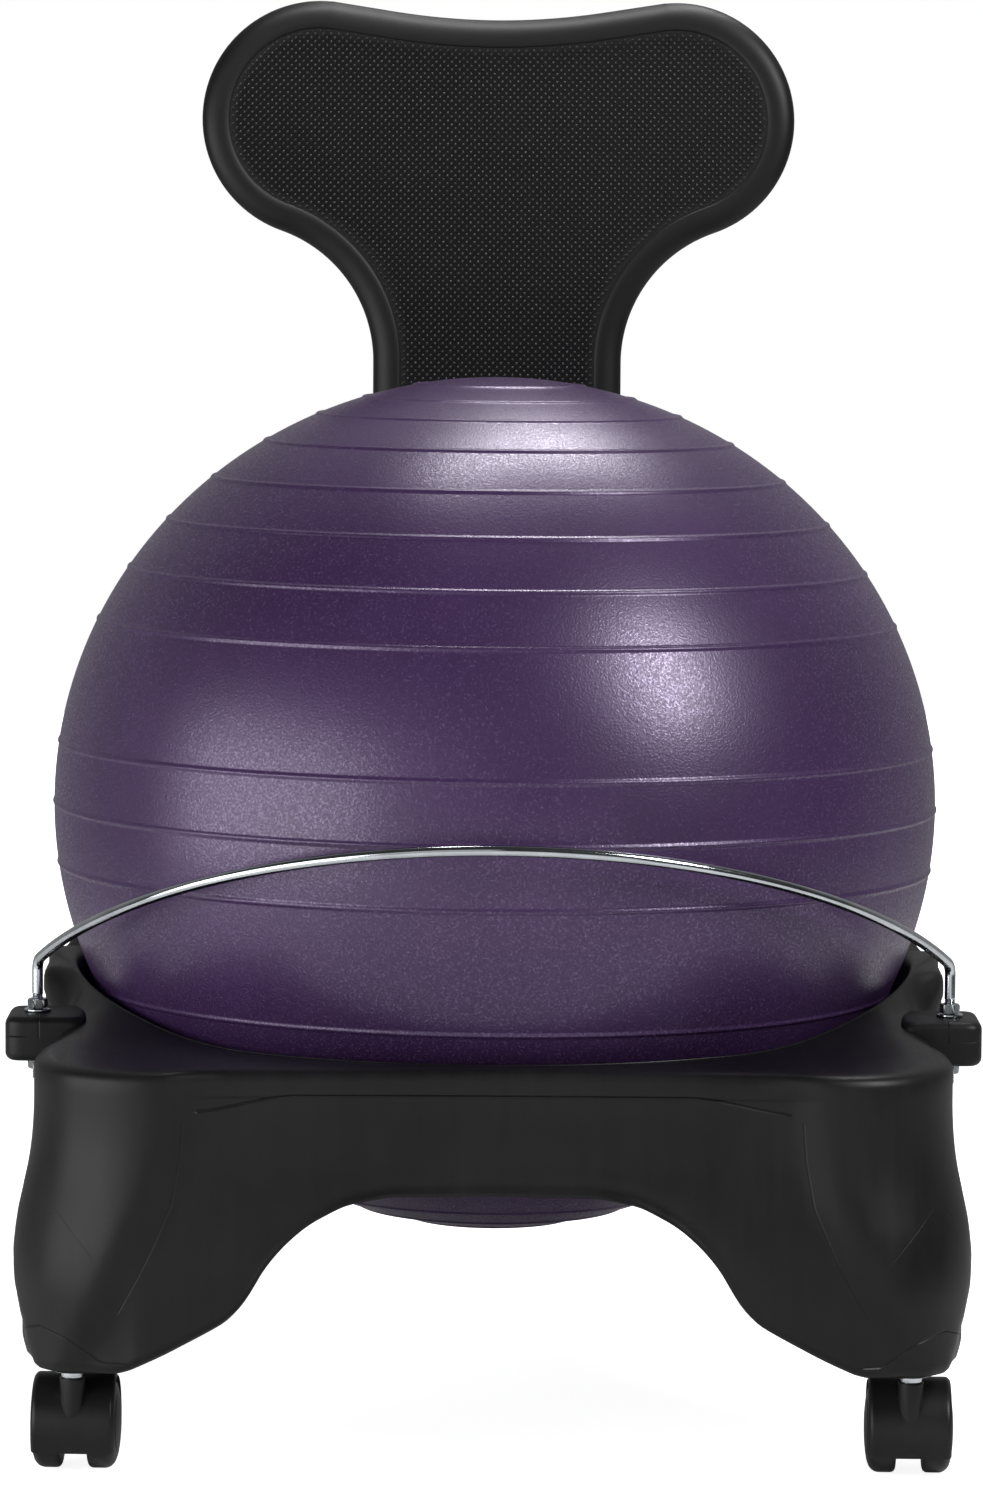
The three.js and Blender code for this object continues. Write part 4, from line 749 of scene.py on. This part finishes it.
def halfOutline(v):
    # Rows of x, z, outward normal and the skeleton point each ring closes on, for the right half from the bottom up
    rows, slope = [], math.radians(v["slopeDegrees"])

    def arc(x, z, radius, turn, skeleton, facing=1):
        c, s = math.cos(turn), math.sin(turn)
        rows.append((x + radius * c, z + radius * s, facing * c, facing * s, *skeleton))

    postX, postZ = v["postHalf"] - v["postCorner"], v["low"] + v["postCorner"]
    postLow = postZ + v["postHalf"] / 2
    rows += [(x, v["low"], 0, -1, 0, postLow) for x in np.linspace(0, postX, 6)[:-1]]
    for turn in np.linspace(-math.pi / 2, 0, 9):
        arc(postX, postZ, v["postCorner"], turn, (0, postLow))
    waistX, between = v["postHalf"] + v["waist"], v["lobe"] + v["waist"]
    waistZ = v["lobeZ"] - math.sqrt(between ** 2 - (waistX - v["lobeX"]) ** 2)
    rows += [(v["postHalf"], z, 1, 0, 0, z) for z in np.linspace(postLow, waistZ, 13)[:-1]]
    waistTurn = math.acos((waistX - v["lobeX"]) / between)
    for i in range(2 * v["topSteps"]):
        share = i / (2 * v["topSteps"])
        skeleton = max(0, share * 2 - 1) * v["lobeX"], mix(waistZ, v["lobeZ"], min(1, share * 2))
        arc(waistX, waistZ, v["waist"], math.pi - waistTurn * share, skeleton, -1)
    for turn in np.linspace(-waistTurn, math.pi / 2 + slope, v["lobeSteps"]):
        arc(v["lobeX"], v["lobeZ"], v["lobe"], turn, (v["lobeX"], v["lobeZ"]))
    edgeX, edgeZ = rows[-1][:2]
    dipHalf = v["dip"] * math.sin(slope)
    for i in range(v["topSteps"] - 1, -1, -1):
        x = i / v["topSteps"] * v["lobeX"]
        lift = (dipHalf - x) ** 2 / (2 * v["dip"]) if x < dipHalf else 0
        lean = slope * min(1, x / dipHalf)
        rows.append((x, edgeZ - (edgeX - x) * math.tan(slope) + lift, -math.sin(lean), math.cos(lean), x, v["lobeZ"]))
    return np.array(rows)


def makeBack(v):
    # Rings parallel to the outline: sunk front panel, a border that swells as a quarter of an ellipse and goes
    # over into the round edge, and the plain back. Then bent: the wings come forward with the square of x, and the
    # top leans back with the square of its height
    right = halfOutline(v)
    left = right[1:-1][::-1] * np.array([-1, 1, -1, 1, -1, 1])
    outline = np.concatenate([right, left])
    half = v["thick"] / 2
    spread = (1, 0.97, 0.9, 0.8, 0.7, 0.6, 0.5, 0.4, 0.3, 0.2, 0.1)
    rings = [(v["border"], m, -half + v["recess"]) for m in spread + (0,)]
    for s in np.linspace(1, 0, 10)[1:-1]:
        rings.append((mix(v["round"], v["border"], s), 0, -half + v["recess"] * (1 - math.sqrt(1 - s * s))))
    for turn in np.linspace(0, math.pi, 19):
        rings.append((v["round"] * (1 - math.sin(turn)), 0, -half * math.cos(turn)))
    rings += [(v["border"] * 0.8, 0, half), (v["border"], 0, half)]
    for s in np.linspace(0, 1, 5)[1:]:
        rings.append((v["border"] + v["rearRun"] * s, 0, half - v["rearSink"] * float(smooth(s))))
    rings += [(v["border"] + v["rearRun"], m, half - v["rearSink"]) for m in spread[::-1]]
    table = np.array(rings)
    inset, middle, depth = (table[:, k][:, None] for k in range(3))
    x = outline[:, 0] - outline[:, 2] * inset
    z = outline[:, 1] - outline[:, 3] * inset
    x = mix(x, outline[:, 4], middle)
    z = mix(z, outline[:, 5], middle)
    share = smooth((z - v["bendStart"]) / v["bendRun"])
    rise = np.maximum(0, z - v["bendStart"]) / (v["lobeZ"] + v["lobe"] - v["bendStart"])
    shift = v["lean"] * rise ** 2 - v["wing"] * share * (x / (v["lobeX"] + v["lobe"])) ** 2
    y = v["front"] + half + depth + shift + centreY
    lead = inset - v["border"] + v["panelLead"] + middle * v["panelGrowth"]
    panel = np.where(depth < 0, lead, v["offPanel"]) + 0 * x
    return np.stack([x, y, z], -1), panel


backPoints, panelField = makeBack(back)
backFields = {"panel": panelField}
backForm = standIn("backrest", backPoints, backPlasticLook, "base", "back_plastic", 32, fields=backFields)
print("backrest", len(backForm.data.polygons))

# Bolts behind the backrest

backBolt = dict(
    across=0.045, height=0.350, radius=0.004, tip=0.2703, tipDraw=0.0006, tipEdge=0.0008, head=0.0075, headLow=0.0019,
    headHeight=0.0044, headWall=0.0014, topShare=0.6, key=0.0025, keyDepth=0.0024, keyPoint=0.0004, keyRim=0.0034,
    washerRadius=0.010, washerHole=0.0045, washer=0.0016,
)


def makeBolt(v, headLow):
    # A button head turned from a rounded profile, with a six-sided socket in its end
    high, tip = headLow + v["headHeight"], v["tip"]
    rows = [
        (0, tip, 0), (v["radius"] - v["tipDraw"], tip, 0.0004), (v["radius"], tip + v["tipEdge"], 0.0004),
        (v["radius"], headLow, 0.0002), (v["head"], headLow, 0.0003), (v["head"], headLow + v["headWall"], 0.002),
        (v["head"] * v["topShare"], high, 0.002), (v["keyRim"], high, 0.0003),
    ]
    a = circle(96)
    flats, floor = hexReach(v["key"], a), high - v["keyDepth"]
    socket = [ringAt(flats, a, high), ringAt(flats, a, floor), ringAt(0, a, floor - v["keyPoint"])]
    return np.concatenate([turned(rows, 96), np.array(socket)])


def facingBack(points, x, z):
    # Z becomes Y, so a turned piece points to the rear
    return np.stack([points[..., 0] + x, points[..., 2] + centreY, -points[..., 1] + z], -1)


rear = base["towerFace"] + fastener["gap"]
boltWasher = ringWasher(backBolt["washerRadius"], backBolt["washerHole"], rear, rear + backBolt["washer"])
bolt = makeBolt(backBolt, rear + backBolt["headLow"])
for side, word in bothSides:
    for stem, points, sharp in (("back_bolt_washer_", boltWasher, 30), ("back_bolt_", bolt, 35)):
        points = facingBack(points, side * backBolt["across"], backBolt["height"])
        standIn(stem + word, points, blackSteelLook, "base", "black_steel", sharp)
    paint(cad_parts["threaded_insert_" + word], brassLook)
print("back bolts")

# Casters

caster = dict(
    across=0.229, depth=0.225, trail=0.020, wheelRadius=0.025, axleHeight=0.024692,
    yawDegrees={"front_left": -2, "front_right": -1, "rear_left": 8, "rear_right": -6}, hoodRadius=0.0276,
    hoodWall=0.0017, hoodHalf=0.0228, hoodFront=0.012, hoodRear=0.021, shoulder=0.0022, shoulderRun=0.0016,
    wallDraw=0.0004, webHalf=0.0056, webInner=0.013, webLift=0.001, webBury=0.0002, hub=0.0066,
)
brakeLever = dict(
    above=0.0042, turnDegrees=42, dropDegrees=14, length=0.021, halfWidth=0.009, tipFrom=0.72, tipRun=0.285,
    tipPower=2.6, halfThick=0.0015, thinning=0.25, squareness=0.35, barrel=(0.003, 0.009, 0.0006),
    pin=(0.0017, 0.01245, 0.0003), earInner=0.00935, earOuter=0.01275, earRound=0.003, earFoot=0.0036, earBury=0.0008,
    earEdge=0.0003,
)


def rod(radius, half, edge, sides):
    rows = [(0, -half, 0), (radius, -half, edge), (radius, half, edge), (0, half, 0)]
    return turned(rows, sides, 3)


def makeWheel(v, side):
    # A domed disc turned about X: flat tread with rounded edges, a ring groove on its outer face, a bore inside
    r = v["wheelRadius"]
    rows = [
        (0, 0.0244, 0), (0.0085, 0.0243, 0.003), (0.0165, 0.0234, 0.002), (0.0168, 0.0229, 0.0003),
        (0.0176, 0.0229, 0.0003), (0.018, 0.0231, 0.0004), (0.0222, 0.0218, 0.002), (r, 0.0186, 0.0026),
        (r, 0.0090, 0.0014), (r - 0.0016, 0.0074, 0.001), (0.016, 0.0074, 0.001), (0.0155, 0.0092, 0.001),
        (0.0075, 0.0092, 0.001), (0.0068, 0.0074, 0.0005), (0.00335, 0.0074, 0.0002), (0.00335, 0.0198, 0),
        (0, 0.0198, 0),
    ]
    return facingSide(turned(rows, 88, 5), v["trail"], v["axleHeight"], side)


def sweptRound(v, loop, lift, steps):
    # An outline of (x, reach) swept round the axle from the cover's front edge to its rear edge
    front = -math.acos((v["hoodFront"] + lift - v["axleHeight"]) / v["hoodRadius"])
    rear = math.acos((v["hoodRear"] + lift - v["axleHeight"]) / v["hoodRadius"])
    angle = np.linspace(front, rear, steps)[:, None]
    y = v["trail"] + loop[:, 1] * np.sin(angle)
    z = v["axleHeight"] + loop[:, 1] * np.cos(angle)
    return capped(np.stack([np.broadcast_to(loop[:, 0], y.shape), y, z], -1))


def makeHood(v):
    # The cover's cross-section is a shallow channel with rounded shoulders
    half, wall, radius = v["hoodHalf"], v["hoodWall"], v["hoodRadius"]
    run, draw, shoulder = v["shoulderRun"], v["wallDraw"], radius - v["shoulder"]
    channel = np.array([
        [-half, shoulder], [-half + run, radius], [half - run, radius], [half, shoulder],
        [half - draw, radius - wall], [-half + draw, radius - wall],
    ])
    rounds = np.array([0.0008, 0.0016, 0.0016, 0.0008, 0.0004, 0.0004])
    return sweptRound(v, roundLoop(channel, rounds, 5), 0, 56)


def makeWeb(v):
    # The rib between the wheels, from near the hub to the cover's inside
    half, inner, outer = v["webHalf"], v["webInner"], v["hoodRadius"] - v["hoodWall"] + v["webBury"]
    plate = np.array([[-half, inner], [-half, outer], [half, outer], [half, inner]])
    return sweptRound(v, roundLoop(plate, np.full(4, 0.0006), 3), v["webLift"], 40)


def joinForms(name, grids, body, sharpDegrees=40):
    # One caster piece from several closed grids
    mesh, shape = bpy.data.meshes.new(name + "_form"), bmesh.new()
    for points in grids:
        form = gridMesh("part", points)
        shape.from_mesh(form.data)
        bpy.data.objects.remove(form)
    shape.to_mesh(mesh)
    shape.free()
    dress(smoothPiece(name + "_form", mesh, sharpDegrees), casterPlasticLook, body, "caster_plastic", name)


def makeLever(v, b):
    # A paddle: a flat rounded section that runs back and slightly down from its barrel, thinner at the tip
    reach, turn, drop = v["hoodRadius"] + b["above"], math.radians(b["turnDegrees"]), math.radians(b["dropDegrees"])
    pivotY = v["trail"] + reach * math.sin(turn)
    pivotZ = v["axleHeight"] + reach * math.cos(turn)
    share = np.linspace(0, 1, 22)
    a = circle(48)
    cx, cz = (np.sign(wave) * np.abs(wave) ** b["squareness"] for wave in (np.cos(a), np.sin(a)))
    tip = np.maximum(0, (share - b["tipFrom"]) / b["tipRun"]) ** b["tipPower"]
    width = b["halfWidth"] * np.sqrt(np.clip(1 - tip, 0, 1))
    thick = b["halfThick"] * (1 - b["thinning"] * share)
    length = (b["length"] * share)[:, None]
    off = cz[None, :] * thick[:, None]
    y = pivotY + math.cos(drop) * length + math.sin(drop) * off
    z = pivotZ - math.sin(drop) * length + math.cos(drop) * off
    arm = capped(np.stack([cx[None, :] * width[:, None], y, z], -1))
    rods = rod(*b["barrel"], 32), rod(*b["pin"], 24)
    return [arm, *(facingSide(points, pivotY, pivotZ) for points in rods)]


def makeEar(v, b, side):
    # A rounded tab from the cover to the lever's pin
    angle = math.radians(b["turnDegrees"])
    a = circle(40)
    low = np.cos(a) < 0
    reach = np.where(low, v["hoodRadius"] - b["earBury"], v["hoodRadius"] + b["above"] + b["earRound"] * np.cos(a))
    spread = np.sign(np.sin(a)) * b["earFoot"] * np.minimum(1, np.abs(np.sin(a)) * 1.4)
    drift = np.where(low, spread, b["earRound"] * np.sin(a))
    y = v["trail"] + reach * math.sin(angle) + drift * math.cos(angle)
    z = v["axleHeight"] + reach * math.cos(angle) - drift * math.sin(angle)
    inner, outer, edge = b["earInner"], b["earOuter"], b["earEdge"]
    rows = []
    for x, scale in ((inner, 0), (inner, 0.9), (inner + edge, 1), (outer - edge, 1), (outer, 0.9), (outer, 0)):
        rows.append(np.column_stack([np.full_like(a, side * x), mix(y.mean(), y, scale), mix(z.mean(), z, scale)]))
    return np.array(rows)


collarTop, collarLow, stemHigh = 0.0576, 0.0542, 0.092
boss = turned([
    (0, 0.0137, 0), (0.0062, 0.0137, 0.001), (0.0071, 0.0539, 0.0008), (0.0058, 0.0539, 0), (0, 0.0539, 0),
], 48)
stemForm = turned([
    (0, 0.029, 0), (0.0053, 0.029, 0.0005), (0.0053, collarLow, 0.0002), (0.0064, collarLow, 0.0006),
    (0.0064, collarTop, 0.0006), (0.0053, collarTop, 0.0002), (0.0053, 0.0797, 0.0002), (0.0045, 0.0797, 0.0002),
    (0.0045, 0.084, 0.0002), (0.0053, 0.084, 0.0002), (0.0053, stemHigh - 0.0018, 0.001),
    (0.0032, stemHigh, 0.001), (0, stemHigh, 0),
], 48, 3)
socketForm = turned([
    (0.00565, 0.0579, 0), (0.01145, 0.0579, 0.0006), (0.01145, 0.0597, 0.0006), (0.00745, 0.0597, 0.0002),
    (0.00745, 0.096, 0.0006), (0, 0.096, 0), (0, 0.0942, 0), (0.00565, 0.0942, 0.0003), (0.00565, 0.0579, 0),
], 48, 3)
hub = facingSide(rod(caster["hub"], caster["webHalf"], 0.0005, 40), caster["trail"], caster["axleHeight"])

for end, endSide in (("front", -1), ("rear", 1)):
    for side, word in bothSides:
        name = end + "_" + word
        body = "caster_" + name
        at = (side * caster["across"], endSide * caster["depth"] + centreY, 0)
        yaw = math.radians(caster["yawDegrees"][name])
        grids = [makeHood(caster), makeWeb(caster), boss, hub]
        if end == "rear":
            grids += [makeEar(caster, brakeLever, -1), makeEar(caster, brakeLever, 1)]
        joinForms("caster_hood_" + name, [placed(grid, yaw, at) for grid in grids], body)
        standIn("caster_stem_" + name, placed(stemForm, yaw, at), zincLook, body, "zinc_steel")
        standIn("caster_socket_" + name, placed(socketForm, 0, at), zincLook, "base", "zinc_steel")
        for wheelSide, letter in ((-1, "l"), (1, "r")):
            wheel, points = "wheel_" + name + "_" + letter, placed(makeWheel(caster, wheelSide), yaw, at)
            standIn(wheel, points, casterPlasticLook, wheel, "caster_plastic", 45)
        if end == "rear":
            grids = [placed(grid, yaw, at) for grid in makeLever(caster, brakeLever)]
            joinForms("brake_lever_" + name, grids, "brake_" + name)
        for node in ("stem_grip_ring_", "caster_axle_"):
            paint(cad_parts[node + name], zincLook)
print("casters")

# Valve plug

plug = turned([
    (0, 0.0985, 0), (0.0088, 0.0985, 0.0008), (0.0098, 0.0994, 0.0008), (0.0088, 0.1006, 0.0004),
    (0.0052, 0.1007, 0.0003), (0.0042, 0.1137, 0.0006), (0, 0.1137, 0),
], 48)
standIn("valve_plug", placed(plug, 0, (0, centreY, 0)), plugLook, "ball", "plug_rubber")

# Floor, light and camera

studio = dict(
    floor=(0.80, 0.80, 0.80), half=4, below=0.0005, floorFrom=0.9, floorTo=2.2, floorPale=0.88, front=0.05,
    behind=0.3, wallFrom=0.05, wallTo=0.5, seen=1.0,
)
floorMesh = bpy.data.meshes.new("floor")
half = studio["half"]
corners = [(x, y, -studio["below"]) for x, y in ((-half, -half), (half, -half), (half, half), (-half, half))]
floorMesh.from_pydata(corners, [], [(0, 1, 2, 3)])
floor = linked("floor", floorMesh)
floorLook, floorShader, floorWhere = nodeMaterial("floor_look", studio["floor"], 0.7)
# The floor fades into the backdrop with its distance from the chair; seen straight it is nearly white, with a
# soft shadow
away = addNode(floorWhere, "VectorMath", {0: floorWhere}, "Value", "LENGTH")
feed(floorShader, {
    "Roughness": rangeNode(noiseNode(floorWhere, 2, 3), 0.3, 0.7, 0.6, 0.75),
    "Alpha": rangeNode(away, studio["floorFrom"], studio["floorTo"], 1, 0),
})
shaded = floorShader.outputs[0]
pale = addNode(shaded, "Emission", {"Strength": studio["floorPale"]})
cameraRay = addNode(shaded, "LightPath", {}, "Is Camera Ray")
view = {0: cameraRay, 1: shaded, 2: addNode(shaded, "AddShader", {0: pale, 1: shaded})}
feed(shaded.id_data.nodes["Material Output"], {"Surface": addNode(shaded, "MixShader", view)})
paint(floor, floorLook)

world = bpy.data.worlds.new("studio")  # a white wall behind the chair, a dim room in front of it
bpy.context.scene.world = world
world.use_nodes = True
backdrop = world.node_tree.nodes["Background"]
generated = addNode(backdrop, "TexCoord", {}, "Generated")
depth = addNode(backdrop, "SeparateXYZ", {0: generated}, "Y")
wall = rangeNode(depth, studio["wallFrom"], studio["wallTo"], studio["front"], studio["behind"])
cameraRay = addNode(backdrop, "LightPath", {}, "Is Camera Ray")
seen = addNode(backdrop, "Mix", {"Factor": cameraRay, "A": wall, "B": studio["seen"]}, "Result")
feed(backdrop, {"Color": (1, 1, 1, 1), "Strength": seen})


def softLight(name, place, target, width, height, power):
    # A rectangular lamp turned towards its target
    lamp = bpy.data.lights.new(name, "AREA")
    lamp.shape, lamp.size, lamp.size_y, lamp.energy = "RECTANGLE", width, height, power
    light = linked(name, lamp)
    light.location = place
    x, y, z = np.array(target, float) - np.array(place, float)
    tilt = math.acos(-z / np.linalg.norm((x, y, z)))
    light.rotation_euler = (tilt, 0, math.atan2(y, x) - math.pi / 2)


softLight("right_light", (1.48, -1.22, 1.72), (0, 0, 0.35), 0.5, 1.0, 48)
softLight("left_light", (-1.30, -0.90, 0.46), (0, 0, 0.3), 1.5, 0.9, 20)
softLight("top_light", (0.36, 0.95, 2.2), (0, 0, 0.4), 0.9, 0.35, 9)
softLight("edge_light", (0.05, 0.20, 1.25), (0, 0.27, 0.8), 0.5, 0.12, 4.5)
softLight("front_light", (-0.9, -3.2, 1.4), (0, 0, 0.4), 2.0, 1.4, 5)
softLight("floor_light", (0, -1.3, 0.06), (0, -0.1, 0.3), 1.6, 0.8, 3)

camera = linked("camera", bpy.data.cameras.new("camera"))
camera.data.sensor_fit = "VERTICAL"
camera.data.sensor_height = 36
camera.data.lens = 6054 / 1500 * 36  # the focal length in the photo's pixels, on a 36 mm high frame
camera.location = (-0.0043, centreY - 3.478, 0.7409)
camera.rotation_euler = (math.radians(90 - 5.99), math.radians(-0.35), 0)
bpy.context.scene.camera = camera
bpy.context.scene.view_settings.view_transform = "Standard"
